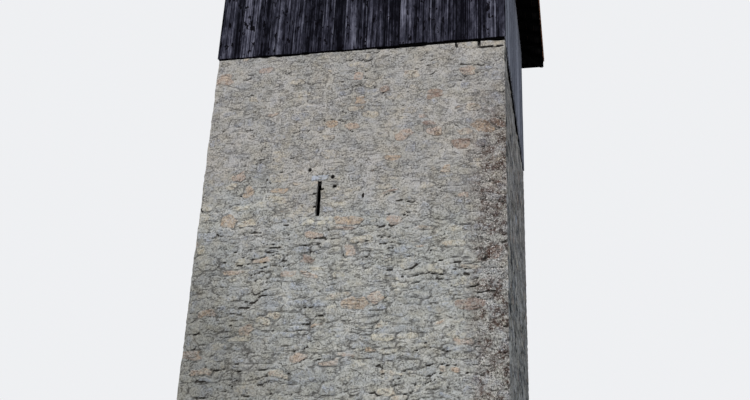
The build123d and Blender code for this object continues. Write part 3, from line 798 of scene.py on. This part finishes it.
def holes_at(s, z, holes):
    """1 in small ragged holes, given as rows of s, height, half width and half height, and 0 outside them."""
    depth = np.zeros(s.shape)
    s, z = s + 0.018 * noise(s, z, 0.11, 400, 2), z + 0.022 * noise(s, z, 0.13, 410, 2)
    for hole_s, hole_z, half_width, half_height in holes:
        away = np.sqrt(((s - hole_s) / half_width) ** 2 + ((z - hole_z) / half_height) ** 2)
        depth = np.maximum(depth, 1 - smooth((away - 0.6) / 0.9))
    return depth


def edge_stain(s, z):
    """Stain of the front wall: it grows over the last metre to the right and fades out near the top."""
    return smooth((s - 2.45) / 0.60) * smooth((9.1 - z) / 3.0)


def lichen_and_shade_share(s, z, side, own_s, own_z):
    """How dark lichen and painted shade make a wall, only on the side that gets no sun: in patches, more on
    some stones than on others, where the painted shade stands for stone faces that get less light. Below
    zero stands for a stone painted paler, as a face that gets more light."""
    patches = 0.32 + 0.4 * noise(s, z * 1.4, 0.45, 360, 3) + 1.8 * noise(own_s, own_z, 0.11, 370, 1)
    return np.clip(patches, -1.0, 1.0) if side == "right" else 0 * s


def darker_foot_share(s, z, side):
    """How much darker the foot of a wall is painted towards the corner of front and left: it grows to the
    corner and to the ground, and is uneven."""
    to_corner = {"front": -s, "left": s}.get(side, 0 * s - 9)
    grown = 0.38 + 0.46 * to_corner - 0.30 * z + 0.25 * noise(s, z, 0.8, 350, 2)
    return np.clip(grown, 0, 1) * smooth(5.0 - z)


print("holes and open joints on the front:", len(HOLES))

# %% Top and rim of the walls
# from the front round to the left: depth of the gap under the boards, and how far the top stands back
TOP_GAP = (0.030, 0.05, 0.035, 0.05)
SET_BACK = (0.0, 0.038, 0.015, 0.015)
RIM_RAGGED, RIM_REACH = 0.016, 0.04


def top_gap(s, z, quarter):
    """1 in the uneven gap between the masonry's top and the boards' feet, 0 below it. The material paints it
    nearly black, as the painted shadow under the boards.
    """
    depth = TOP_GAP[quarter] * (1 + 0.9 * noise(s, 0 * s, 0.35, 320 + quarter, 3))
    return smooth((z - MASONRY_TOP + depth) / 0.02)


def set_back(s, z, quarter):
    """How far the top of a wall stands back under the boards: most in the middle, unevenly, nothing at the
    corners and a metre down."""
    uneven = 1 + noise(s, z, 0.4, 340, 2)
    return SET_BACK[quarter] * smooth((z - 8.4) / 0.9) * (1 - (s / HALF) ** 4) * uneven


def ragged_rim(s, z, quarter):
    """Moves the grid lines at the loophole's two edges a little along the wall, so that its rim is uneven."""
    away = np.abs(np.abs(s - LOOPHOLE_PLACE) - LOOPHOLE_HALF)
    level = (z >= LOOPHOLE_SILL) & (z <= LOOPHOLE_HEAD)
    return s + RIM_RAGGED * noise(z, s, 0.075, 380 + quarter, 2) * (1 - smooth(away / RIM_REACH)) * level


# %% Walls
GRID_STEP = {"front": 0.0265, "right": 0.0265, "rear": 0.030, "left": 0.030}
HOLE_DEPTH = 0.05


def build_wall(side, holes=(), doorway=None):
    """One wall: the outer face worked out from its stones, and the closed body behind it."""
    quarter, stones = SIDES[side], stones_by_side[side]
    openings = [LOOPHOLE] + ([doorway] if doorway else [])
    s_lines = snapped(2 * HALF, GRID_STEP[side], [e for hole in openings for e in hole["s"]], -HALF)
    z_lines = snapped(MASONRY_TOP, GRID_STEP[side], [e for hole in openings for e in hole["z"]])
    s, z = np.meshgrid(s_lines, z_lines)
    seed = 200 + 50 * quarter
    edge, below, number = stone_field(s, z, s_lines, z_lines, stones, seed)
    shown = len(SET_STONES) if side == "front" else 0
    proud, bare, joint, gap, worn = wall_relief(s, z, edge, below, number, stones, shown, seed)
    pierced = np.maximum(holes_at(s, z, holes), top_gap(s, z, quarter))
    proud = proud - HOLE_DEPTH * pierced - set_back(s, z, quarter)
    # holes and the gap under the boards reach 2, and the material paints them nearly black as painted shade
    gap = np.maximum(gap, 2 * pierced)
    stain = edge_stain(s, z) if side == "front" else 0 * s
    lichen_and_shade = lichen_and_shade_share(s, z, side, stones[number, 0], stones[number, 1])
    # painted shadow on the right wall: the lines round each stone are darker, as deep joints in shade
    joint = np.maximum(joint, (0.6 + 0.4 * lichen_and_shade) * (lichen_and_shade != 0) * (1 - smooth(np.abs(edge) / 0.024)))
    darker_foot = darker_foot_share(s, z, side)
    s, proud = lead_to_corners(ragged_rim(s, z, quarter), z, proud, quarter)
    body = WallBody(quarter, place(quarter, s, HALF + proud, z))
    lines = [(hole_lines(s_lines, hole["s"]), hole_lines(z_lines, hole["z"])) for hole in openings]
    rings = [body.tunnel(hole, *pair) for hole, pair in zip(openings, lines)]
    body.room_side(rings[0], (rings[1], lines[1][0]) if doorway else None)
    values = {"bare": bare, "joint": joint, "gap": gap, "tone": stones[number, 4], "stain": stain,
              "worn": worn, "lichen_and_shade": lichen_and_shade, "darker_foot": darker_foot}
    behind = np.zeros(len(body.points) - s.size)
    values = {key: np.append(value, behind) for key, value in values.items()}
    return make_piece(f"{side}_masonry", body.points, body.faces(), "masonry", MASONRY, [f"{side}_wall"],
                      **values)


for side in SIDES:
    wall = build_wall(side, HOLES if side == "front" else (), DOORWAY if side == "rear" else None)
    print(side, "masonry,", len(wall.data.polygons), "faces")

# %% [markdown]
# Over the loophole lies a small pale lintel and under it a wide sill; the doorway has the same, larger.
# These were cut with more care than the rubble. A block is a closed body with a fine outer face that bulges
# a little and rounds off towards its edges, so it catches the light like worked stone.

# %% Cut stones
BLOCK_GRID = 14
BLOCK_TAIL = 0.10
BLOCK_MARGIN, BLOCK_ROUNDED = 0.03, 0.022


def cut_block(quarter, low, high, proud, seed):
    """Points, faces and bare share of one block: the face stands proud of the wall by a height plus noise,
    less a rounded margin, its outline is moved by noise, and four sides run back to its tail. More of the
    stone is bare the farther it is from the edge."""
    u, v = np.meshgrid(np.linspace(0, 1, BLOCK_GRID), np.linspace(0, 1, BLOCK_GRID))
    s, z = low[0] + (high[0] - low[0]) * u, low[1] + (high[1] - low[1]) * v
    margin = np.minimum(np.minimum(s - low[0], high[0] - s), np.minimum(z - low[1], high[1] - z))
    fall = 1 - smooth(margin / BLOCK_MARGIN)
    out = HALF + proud + 0.006 * noise(s, z, 0.12, seed, 3) - BLOCK_ROUNDED * fall
    s_worn = s + 0.014 * noise(s, z, 0.13, seed + 1, 2) * (1 - 2 * u) * fall
    z_worn = z + 0.012 * noise(s, z, 0.11, seed + 2, 2) * fall * (v > 0)
    tail_s = np.array([low[0], high[0], high[0], low[0]])
    tail_z = np.array([low[1], low[1], high[1], high[1]])
    points = np.concatenate([place(quarter, s_worn, out, z_worn).reshape(-1, 3),
                             place(quarter, tail_s, HALF - BLOCK_TAIL, tail_z)])
    n = BLOCK_GRID
    corner = (np.arange(n - 1)[:, None] * n + np.arange(n - 1)).ravel()
    faces = np.stack([corner, corner + 1, corner + n + 1, corner + n], axis=-1).tolist()
    border = [range(n), range(n - 1, n * n, n), range(n * n - 1, n * n - n - 1, -1), range(n * n - n, -1, -n)]
    for k, line in enumerate(border):
        faces.append([*line][::-1] + [n * n + k, n * n + (k + 1) % 4])
    faces.append([n * n + k for k in range(3, -1, -1)])
    return points, faces, np.append(8 * margin.ravel() - 0.05, np.zeros(4))


def cut_stones(name, nodes, blocks):
    """A piece of several blocks, each given as side, low and high corner on the wall, kind and height."""
    points, faces, bare, tones = [], [], [], []
    for k, (side, low, high, kind, proud) in enumerate(blocks):
        own_points, own_faces, own_bare = cut_block(SIDES[side], low, high, proud, 900 + 7 * k)
        start = sum(len(part) for part in points)
        faces += [[start + i for i in face] for face in own_faces]
        points.append(own_points)
        bare.append(own_bare)
        tones.append(np.full(len(own_points), STONE_KINDS[kind]))
    tones = np.concatenate(tones)
    return make_piece(name, np.concatenate(points), faces, "masonry", MASONRY, nodes,
                      bare=np.concatenate(bare), tone=tones, worn=np.ones(len(tones)))


# %% Lintels, sills and the doorway's stones
LINTEL_HALF, LINTEL_RISE = 0.21, 0.16
SILL_HALF, SILL_DEPTH = 0.40, 0.24
LINTEL_PROUD, SILL_PROUD, DOORWAY_PROUD = 0.012, 0.006, 0.010
SILL_CRACK, CRACK_HALF = LOOPHOLE_PLACE - 0.02, 0.006
lintels = [(side, (LOOPHOLE_PLACE - LINTEL_HALF, LOOPHOLE_HEAD),
            (LOOPHOLE_PLACE + LINTEL_HALF, LOOPHOLE_HEAD + LINTEL_RISE), "pale", LINTEL_PROUD)
           for side in SIDES]
sills = [(side, (left, LOOPHOLE_SILL - SILL_DEPTH), (right, LOOPHOLE_SILL), "cream", SILL_PROUD)
         for side in SIDES
         for left, right in ((LOOPHOLE_PLACE - SILL_HALF, SILL_CRACK - CRACK_HALF),
                             (SILL_CRACK + CRACK_HALF, LOOPHOLE_PLACE + SILL_HALF))]
cut_stones("loophole_lintel_stones", ["loophole_lintels"], lintels)
cut_stones("loophole_sill_stones", ["loophole_sills"], sills)
for node, kind in (("door_lintel", "cream"), ("door_threshold", "buff")):
    low, high = box_of(node)
    cut_stones(node + "_stone", [node], [("rear", low[[0, 2]], high[[0, 2]], kind, DOORWAY_PROUD)])
print("cut stones:", len(lintels) + len(sills) + 2)

# %% [markdown]
# Old outdoor boards turn grey on the surface and almost black where they stay damp. The grain runs along
# the board, so the noise is stretched along its length. Real fibres are under a millimetre wide and
# wouldn't show, so bundles of them are drawn, 26 mm wide. Broader streaks lie over them, and knots are dark
# spots that are longer than wide.

# %% Weathered wood
def grained(add, where, axis, across, along, *quality):
    """Noise with one size in metres across the grain and another along it; the quality is detail and
    roughness."""
    scale = [1 / across] * 3
    scale["xyz".index(axis)] = 1 / along
    return add("TexNoise", add("VectorMath", where, scale, operation="MULTIPLY"), 1.0, *quality)


def wood_material(name, axis, dark, middle, light, knots=0.0):
    """Wood with its grain along an axis: fibres, streaks and blotches choose between three colours, each
    board is moved through the pattern by its own shade value, and knots darken it."""
    material, shader, add = new_material(name, Roughness=0.9, Specular_IOR_Level=0.0)
    shade = add("Attribute", attribute_name="shade", out="Fac")
    # up to 41 m along every axis, so that no two boards show the same part of the pattern
    jump = add("Math", shade, 41.0, operation="MULTIPLY")
    moved = add("VectorMath", add("TexCoord", out="Object"), jump, operation="ADD")
    fibre = grained(add, moved, axis, 0.026, 1.8, 3.0)
    value = grained(add, moved, axis, 0.075, 4.5, 6.0, 0.75)
    blotch = grained(add, moved, axis, 0.12, 0.30, 5.0, 0.7)
    for layer, weight in ((fibre, 0.70), (blotch, 0.60), (shade, 0.36)):
        value = add("Math", layer, weight, value, operation="MULTIPLY_ADD")
    colour = add("ValToRGB", add("Math", value, 0.5, operation="MULTIPLY"), stops=[
        (0.60, dark), (0.69, middle), (0.82, light)])
    if knots:
        knot = add("MapRange", grained(add, moved, axis, 0.11, 0.22, 3.0), 0.60, 0.64)
        colour = add("Mix", add("Math", knot, knots, operation="MULTIPLY"), colour, "#08070A")
    connect(shader, colour, value, 0.6, 0.006)
    return material


DARK_BOARDS = wood_material("blackened_softwood", "z", "#0C0C11", "#30303A", "#70707D", 0.95)
GREY_BOARDS = wood_material("silvered_softwood", "z", "#5C5F68", "#80838D", "#9A9DA8", 0.5)
print("wood materials:", DARK_BOARDS.name, GREY_BOARDS.name)

# %% [markdown]
# The boards were sawn from whole trunks, so no two are of one width. They hang upright with small gaps, and
# their feet end unevenly. A board is a closed profile with eight corners, a little cupped and with worn
# arrises, carried from its foot to its head along a line that wanders slightly.

# %% Boards
BOARD_ROWS = 14
PROFILE_ACROSS = np.array([-1, 1, 1, 0.94, 0.35, -0.35, -0.94, -1])
PROFILE_OUT = np.array([0, 0, 0.82, 1.0, 0.93, 0.93, 1.0, 0.82])
BOARD_GAP, FACE_SPREAD, BOARD_WANDER = (0.002, 0.007), 0.006, 0.003


def upright_boards(quarter, joints, foot, head, out, back, draw, shade=None):
    """Points, faces and shades of boards side by side: the middle of each is moved along s by noise of the
    height, and the profile is scaled to its width and thickness. Shades that aren't given are drawn."""
    left, right = np.array(joints[:-1]), np.array(joints[1:])
    count, around = len(left), len(PROFILE_OUT)
    gap = draw.uniform(*BOARD_GAP, count)
    face = out - draw.uniform(0.0, FACE_SPREAD, count)
    z = foot[:, None] + (head - foot)[:, None] * np.linspace(0, 1, BOARD_ROWS)
    wander = BOARD_WANDER * noise(z, 9 * left[:, None], 0.5, 300 + quarter, 2)
    middle = ((left + right) / 2)[:, None] + wander
    half = ((right - left - gap) / 2)[:, None]
    along = middle[..., None] + half[..., None] * PROFILE_ACROSS
    depth = back + (face - back)[:, None, None] * PROFILE_OUT
    points = place(quarter, along, depth, z[..., None])
    shade = draw.permutation(np.linspace(0, 1, count)) if shade is None else np.array(shade)
    return points, tube_faces(count, BOARD_ROWS, around), np.repeat(shade, BOARD_ROWS * around)


# %% [markdown]
# The front's boards keep the widths and the order of dark and light ones that show in the photograph,
# judged from 0 for nearly black to 1 for silvered. The others are drawn by chance within the same
# widths.

# %% Hang the boards
FRONT_JOINTS = [-3.15, -2.95, -2.61, -2.43, -2.23, -2.05, -1.90, -1.70, -1.37, -1.22, -0.91, -0.62, -0.34,
                -0.05, 0.20, 0.45, 0.655, 1.01, 1.30, 1.67, 1.86, 2.07, 2.29, 2.67, 2.89, 3.04, 3.30]
FRONT_SHADES = [0.60, 0.35, 0.75, 0.45, 0.10, 0.47, 0.62, 0.50, 0.55, 0.12, 0.20, 0.40, 0.18, 0.57,
                0.46, 0.51, 0.22, 0.15, 0.72, 0.36, 0.52, 0.68, 0.58, 0.14, 0.59, 0.26, 0.65, 0.42]
BOARD_WIDTH = (0.15, 0.36)
RAISED_FROM, RAISED_BY = 1.0, 0.030
FOOT_RAGGED, FOOT_ABOVE = 0.022, {"front": 0.006, "right": 0.035, "rear": 0.010, "left": 0.020}


def joints_between(half_length, draw):
    """Board joints along a wall, of chance widths."""
    joints = [-half_length]
    while joints[-1] < half_length - BOARD_WIDTH[1] - BOARD_WIDTH[0]:
        joints.append(joints[-1] + draw.uniform(*BOARD_WIDTH))
    return joints + [(joints[-1] + half_length) / 2, half_length]


for side, quarter in SIDES.items():
    draw = np.random.default_rng(80 + quarter)
    low, high = box_of(f"{side}_cladding")
    half_length = high[quarter % 2]
    joints = joints_between(half_length, draw)
    if side == "front":
        joints = [-half_length, *FRONT_JOINTS, half_length]
    foot = low[2] + FOOT_ABOVE[side] + draw.uniform(0.0, FOOT_RAGGED, len(joints) - 1)
    if side == "front":
        foot += np.where(np.array(joints[:-1]) > RAISED_FROM, RAISED_BY, 0.0)
    points, faces, shade = upright_boards(quarter, joints, foot, np.full(len(foot), high[2]), CLADDING_OUT,
                                          CLADDING_BACK, draw, FRONT_SHADES if side == "front" else None)
    finish = DARK_BOARDS if side in ("front", "rear") else GREY_BOARDS
    make_piece(f"{side}_boards", points, faces, "weathered_boards", finish, [f"{side}_cladding"], shade=shade)
    print(side, "boards:", len(foot))

# %% [markdown]
# The door is fixed shut behind its reveal: five planks side by side in the place of the solid leaf. Frame
# and strap hinges keep their solids and get their finish.

# %% Door planks
PLANKS = 5
PLANK_WOOD = wood_material("oak_planks", "z", "#2A2119", "#4B3D2F", "#6E5D49", 0.4)
leaf_low, leaf_high = box_of("door_leaf")
points, faces, shade = upright_boards(
    SIDES["rear"], np.linspace(-leaf_high[0], leaf_high[0], PLANKS + 1), np.full(PLANKS, leaf_low[2]),
    np.full(PLANKS, leaf_high[2]), leaf_high[1], leaf_low[1], np.random.default_rng(99))
make_piece("door_plank_row", points, faces, "door_planks", PLANK_WOOD, ["door_leaf"], shade=shade)
print("door planks:", PLANKS)

# %% [markdown]
# The frame timbers and floors keep their solids. They are stained dark, and painted nearly black besides, as
# the painted shade under the deep eave. Their grain runs along each piece, so there is one material for
# each direction.

# %% Timbers
TIMBER_AXES = {
    "x": ["long_sill_beams", "long_wall_plates", "right_rafters", "left_rafters", "tie_beam", "long_fascias",
          "rails", "loophole_inner_lintels", "door_inner_lintel", "upper_floor_boards", "first_floor_boards"],
    "y": ["cross_sill_beams", "cross_wall_plates", "front_rafters", "rear_rafters", "cross_fascias",
          "first_floor_joists", "upper_floor_joists"],
    "z": ["corner_posts", "wall_posts", "braces", "king_post", "door_frame", "hip_rafters"],
}
# nearly black: dark stain, and painted shade for the underside of the eave
STAINED_AND_SHADED_TIMBER = {axis: wood_material(f"stained_shaded_timber_{axis}", axis, "#060606", "#100F0F", "#1F1D1C")
              for axis in TIMBER_AXES}


def finish_node(node, material):
    """Gives a kept solid its material."""
    for material_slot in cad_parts[node].material_slots:
        material_slot.material = material


for axis, nodes in TIMBER_AXES.items():
    for node in nodes:
        finish_node(node, STAINED_AND_SHADED_TIMBER[axis])
print("timbers finished:", sum(len(nodes) for nodes in TIMBER_AXES.values()))

# %% [markdown]
# The door hangs on straps of forged iron. Old rust covers them, dark brown and rough, and only what is
# rubbed shines a little, so the finish is part metal and part rust in one shader.

# %% Wrought iron
def iron_material():
    """Forged iron under old rust: dark brown, rough, faintly metallic where it is rubbed, in spots of
    14 mm."""
    material, shader, add = new_material("rusted_wrought_iron", Metallic=0.5, Roughness=0.7)
    spots = add("TexNoise", add("TexCoord", out="Object"), 70.0, 5.0, 0.7)
    colour = add("ValToRGB", spots, stops=[(0.35, "#2A2420"), (0.52, "#4A3A30"), (0.68, "#6E4A36")])
    connect(shader, colour, spots, 0.5, 0.003)
    return material


finish_node("hinge_straps", iron_material())
print("hinge straps finished")

# %% [markdown]
# The roof is a low pyramid. All its layers rise from the eave by the same slope, so a height anywhere on it
# follows from the distance to the axis. The boards lie across the rafters, one above the other up to the
# top, and each ends at the hips.

# %% Roof boards
ROOF_SLOPE = tan(radians(15))
DECK_WIDTH, DECK_GAP, DECK_LEAST = 0.21, 0.006, 0.01
deck_low = box_of("front_roof_boards")[0]
DECK_OUT, DECK_FOOT = -deck_low[1], deck_low[2]
tiles_low = box_of("front_roof_tiles")[0]
TILES_OUT, TILES_FOOT = -tiles_low[1], tiles_low[2]
DECK_THICKNESS = TILES_FOOT + ROOF_SLOPE * (TILES_OUT - DECK_OUT) - DECK_FOOT


def roof_boards(side):
    """Boards of one slope as closed bodies with the section's four corners at both ends; an end lies on the
    hip, where s equals the distance out. Height = foot + slope times the way in from the eave."""
    lower = np.arange(DECK_OUT, DECK_WIDTH / 2, -DECK_WIDTH)
    upper = np.maximum(lower - DECK_WIDTH + DECK_GAP, DECK_LEAST)
    out = np.stack([lower, lower, upper, upper], axis=-1)
    lift = DECK_THICKNESS * np.array([0, 1, 1, 0])
    height = DECK_FOOT + ROOF_SLOPE * (DECK_OUT - out) + lift
    ends = np.array([-1, 1])[None, :, None]
    points = place(SIDES[side], ends * out[:, None, :], out[:, None, :], height[:, None, :])
    shade = np.repeat(np.random.default_rng(120).uniform(0, 1, len(lower)), 8)
    finish = STAINED_AND_SHADED_TIMBER["x" if side in ("front", "rear") else "y"]
    return make_piece(f"{side}_deck_boards", points, tube_faces(len(lower), 2, 4), "roof_timber", finish,
                      [f"{side}_roof_boards"], shade=shade)


for side in SIDES:
    deck = roof_boards(side)
print("deck boards on each slope:", len(deck.data.polygons) // 6)

# %% [markdown]
# Barrel tiles are tapered half pipes of fired clay. One row lies hollow side up and carries the water, the
# next lies over the joints hollow side down, and each tile laps over the one below it. Every tile is a
# small closed body here, laid a little askew, with its own shade. At the hips the tiles are cut to the hip
# line.

# %% Barrel tiles
TILE_PITCH, TILE_EXPOSED, TILE_LENGTH = 0.205, 0.34, 0.42
TILE_RISE, TILE_THICKNESS, ARC_POINTS = 0.050, 0.014, 7
TILE_ASKEW, TILE_SLIDE = 0.02, 0.012
# columns each side of the middle and rows, more than fit, since those beyond the hips are left out
TILE_COLUMNS, TILE_ROWS = 20, 13
HIP_MARGIN, TOP_MARGIN, LEAST_HALF = 0.02, 0.03, 0.005
# a tile's points go out and back round the arc, at its foot and at its head
TILE_POINTS = 4 * ARC_POINTS
# half widths at foot and head, shift along the eave, lift, and whether the hollow side lies up
TILE_LAYERS = [((0.088, 0.098), 0.0, 0.0, True), ((0.096, 0.080), TILE_PITCH / 2, 0.030, False)]


def half_pipe(halves, rise):
    """Section of a tapered half pipe at its foot and its head, across and up: the outer arc, then the inner
    one back. Across = half width times the cosine and up = rise times the sine of the angle round the arc,
    where half width and rise lose the thickness on the inner arc."""
    angle = np.linspace(0, pi, ARC_POINTS)
    angle = np.concatenate([angle, angle[::-1]])
    thin = np.repeat([0.0, TILE_THICKNESS], ARC_POINTS)
    return (np.array(halves)[:, None] - thin) * np.cos(angle), (rise - thin) * np.sin(angle)


def tile_slope(side):
    """All tiles of one slope. A tile's foot is given by its place along the eave and its way in from there;
    the section points are carried up the slope by the tile's length and lifted by what it lies on."""
    draw = np.random.default_rng(140 + SIDES[side])
    points, shades = [], []
    for halves, offset, lift, hollow_up in TILE_LAYERS:
        columns = np.arange(-TILE_COLUMNS, TILE_COLUMNS + 1) * TILE_PITCH + offset
        rows = np.arange(TILE_ROWS) * TILE_EXPOSED
        s, way_in = (grid.ravel() for grid in np.meshgrid(columns, rows))
        inside = np.abs(s) < TILES_OUT - way_in - HIP_MARGIN
        s, way_in = s[inside, None, None], way_in[inside, None, None]
        across, up = half_pipe(halves, TILE_RISE)
        if hollow_up:
            across, up = -across, TILE_RISE - up
        askew = draw.uniform(-TILE_ASKEW, TILE_ASKEW, s.shape) * np.array([[0.0], [1.0]])
        slide = draw.uniform(0.0, TILE_SLIDE, s.shape) * (way_in > 0)
        along = np.minimum(way_in + slide + np.array([[0.0], [TILE_LENGTH]]), TILES_OUT - TOP_MARGIN)
        out = TILES_OUT - along
        limit = np.maximum(out - HIP_MARGIN, LEAST_HALF)
        lap = np.array([[TILE_THICKNESS], [0.0]]) + lift
        height = TILES_FOOT + ROOF_SLOPE * along + up + lap
        s = np.clip(s + across + askew, -limit, limit)
        points.append(place(SIDES[side], s, out, height).reshape(-1, 3))
        shades.append(np.repeat(draw.uniform(0, 1, len(s)), TILE_POINTS))
    points, shades = np.concatenate(points), np.concatenate(shades)
    faces = tube_faces(len(points) // TILE_POINTS, 2, TILE_POINTS // 2)
    return make_piece(f"{side}_barrel_tiles", points, faces, "clay_tiles", CLAY, [f"{side}_roof_tiles"],
                      shade=shades)


# %% [markdown]
# Hand-made roof tiles are fired brick clay, from orange to brown after where they stood in the kiln, and
# greyed by lichen on the weather side. They have no glaze.

# %% Fired clay
def clay_material():
    """Unglazed fired clay: each tile of its own shade, sooty patches of 170 mm, pale lichen of 50 mm and a
    surface that is rough every 17 mm, coarser than real clay so that it shows."""
    material, shader, add = new_material("fired_clay", Roughness=0.88, Specular_IOR_Level=0.3)
    where = add("TexCoord", out="Object")
    colour = add("ValToRGB", add("Attribute", attribute_name="shade", out="Fac"), stops=[
        (0.0, "#6F4838"), (0.35, "#8A5A44"), (0.65, "#9C6A50"), (0.9, "#AC7D60"), (1.0, "#5C443A")])
    soot = add("ValToRGB", add("TexNoise", where, 6.0, 6.0, 0.7), stops=[
        (0.32, "#7C7672"), (0.50, "#DCD8D5"), (0.62, "#FFFFFF")])
    colour = add("Mix", 0.9, colour, soot, blend_type="MULTIPLY")
    lichen = add("MapRange", add("TexNoise", where, 19.0, 5.0, 0.75), 0.58, 0.68)
    colour = add("Mix", lichen, colour, "#9A968A")
    connect(shader, colour, add("TexNoise", where, 60.0), 0.5, 0.004)
    return material


CLAY = clay_material()
for side in SIDES:
    tiles = tile_slope(side)
print("tiles on each slope:", len(tiles.data.polygons) // (2 * ARC_POINTS + 2))

# %% [markdown]
# Larger tiles cover the hips, bedded over the cut edges and lapping like the rest, and a round cap closes
# the top where the four rows meet.

# %% Hip tiles
HIP_TILE_LENGTH, HIP_TILE_EXPOSED = 0.46, 0.38
HIP_TILE_HALF, HIP_TILE_RISE = (0.118, 0.100), 0.115
HIP_START, HIP_TOP_MARGIN = 0.01, 0.10
HIP_BED, HIP_LAP, HIP_SUNK = 0.055, 0.022, 0.012


def hip_tiles():
    """Rows of half pipes up the four hips. The way along a hip is measured in plan: out = outermost minus way
    / sqrt(2) for both directions, across is at right angles to it, and the height follows the slope."""
    way = np.arange(HIP_START, (TILES_OUT - HIP_TOP_MARGIN) * sqrt(2) - HIP_TILE_EXPOSED, HIP_TILE_EXPOSED)
    ends = way[:, None, None] + np.array([[0.0], [HIP_TILE_LENGTH]])
    across, up = half_pipe(HIP_TILE_HALF, HIP_TILE_RISE)
    up = up + np.array([[HIP_LAP], [0.0]]) - HIP_SUNK
    height = TILES_FOOT + HIP_BED + ROOF_SLOPE * ends / sqrt(2) + up
    out = TILES_OUT - ends / sqrt(2)
    along_hip = np.minimum(out - across / sqrt(2), TILES_OUT)
    beside = np.minimum(out + across / sqrt(2), TILES_OUT)
    points = np.concatenate([place(quarter, along_hip, beside, height) for quarter in SIDES.values()])
    shade = np.random.default_rng(170).uniform(0, 1, len(points))
    return make_piece("hip_tile_rows", points, tube_faces(len(points), 2, TILE_POINTS // 2), "clay_tiles",
                      CLAY, ["hip_tiles"], shade=np.repeat(shade, TILE_POINTS))


hips = hip_tiles()
finish_node("apex_cap", CLAY)
print("hip tiles:", len(hips.data.polygons) // (2 * ARC_POINTS + 2))

# %% [markdown]
# The tower stands on a plain pale floor. The camera is lower than the tower's foot, so the floor is a flat
# place that falls away on all sides like a low hill, far enough down to pass under the camera.

# %% Floor
PLATEAU, SLOPE_LENGTH, DROP = 6.2, 10.0, 5.4
FAR_RINGS, FLOOR_AROUND, JUST_BELOW = [40, 150, 400], 96, 0.002


def floor_surface():
    """A surface of rings about the axis: height = minus the drop times the smooth step of the distance past
    the flat place over the length of the slope."""
    radius = np.concatenate([[0.01], np.linspace(PLATEAU, PLATEAU + SLOPE_LENGTH, 40), FAR_RINGS])
    angle = np.arange(FLOOR_AROUND) * 2 * pi / FLOOR_AROUND
    ring, turned = np.meshgrid(radius, angle, indexing="ij")
    height = -JUST_BELOW - DROP * smooth((ring - PLATEAU) / SLOPE_LENGTH)
    points = np.stack([ring * np.cos(turned), ring * np.sin(turned), height], axis=-1)
    start = np.arange(len(radius) - 1)[:, None] * FLOOR_AROUND
    a, b = start + np.arange(FLOOR_AROUND), start + (np.arange(FLOOR_AROUND) + 1) % FLOOR_AROUND
    faces = np.stack([a, a + FLOOR_AROUND, b + FLOOR_AROUND, b], axis=-1).reshape(-1, 4)
    return points.reshape(-1, 3), faces.tolist()


floor_mesh = bpy.data.meshes.new("floor")
floor_points, floor_quads = floor_surface()
floor_mesh.from_pydata(floor_points.tolist(), [], floor_quads)
floor_mesh.polygons.foreach_set("use_smooth", [True] * len(floor_quads))
floor_mesh.update()
floor = bpy.data.objects.new("floor", floor_mesh)
bpy.context.scene.collection.objects.link(floor)
floor_material, *_ = new_material("matt_pale_floor", Roughness=0.95, Base_Color=linear("#BDBCBA"))
floor_mesh.materials.append(floor_material)
print("floor rings:", len(floor_quads) // FLOOR_AROUND)

# %% [markdown]
# A high soft sun from the left of the front picks out the relief, and the right wall stays in shade. The
# world gives the rest as even light, bluish and stronger from above. A surface that faces the front then
# renders about as its colour is written. What the camera sees of the world is a plain pale background.

# %% Sun
SUN_STRENGTH, SUN_WIDTH = 3.8, radians(3)
SUN_FROM_ZENITH, SUN_TURN = radians(38), radians(-20)

sun = bpy.data.objects.new("sun", bpy.data.lights.new("sun", "SUN"))
bpy.context.scene.collection.objects.link(sun)
sun.data.energy = SUN_STRENGTH
sun.data.angle = SUN_WIDTH
sun.rotation_euler = (SUN_FROM_ZENITH, 0, SUN_TURN)
print("sun strength", sun.data.energy)

# %% Sky and background
DOME_LOW, DOME_HIGH, BACKGROUND = (0.13, 0.14, 0.16, 1.0), (0.45, 0.49, 0.57, 1.0), (0.86, 0.87, 0.89, 1.0)
world = bpy.data.worlds.new("studio")
bpy.context.scene.world = world
world.use_nodes = True
add = partial(add_node, world.node_tree)
seen = add("LightPath", out="Is Camera Ray")
rays = seen.node.outputs
for ray in ("Is Glossy Ray", "Is Transmission Ray"):
    seen = add("Math", seen, rays[ray], operation="MAXIMUM")
height = add("SeparateXYZ", add("TexCoord", out="Generated"), out="Z")
dome = add("Mix", add("MapRange", height, -0.5, 0.9), DOME_LOW, DOME_HIGH)
sky = add("Mix", seen, dome, BACKGROUND)
world.node_tree.links.new(sky, world.node_tree.nodes["Background"].inputs["Color"])
bpy.context.scene.view_settings.view_transform = "Standard"
print("sky from", DOME_LOW[:3], "below to", DOME_HIGH[:3], "above")
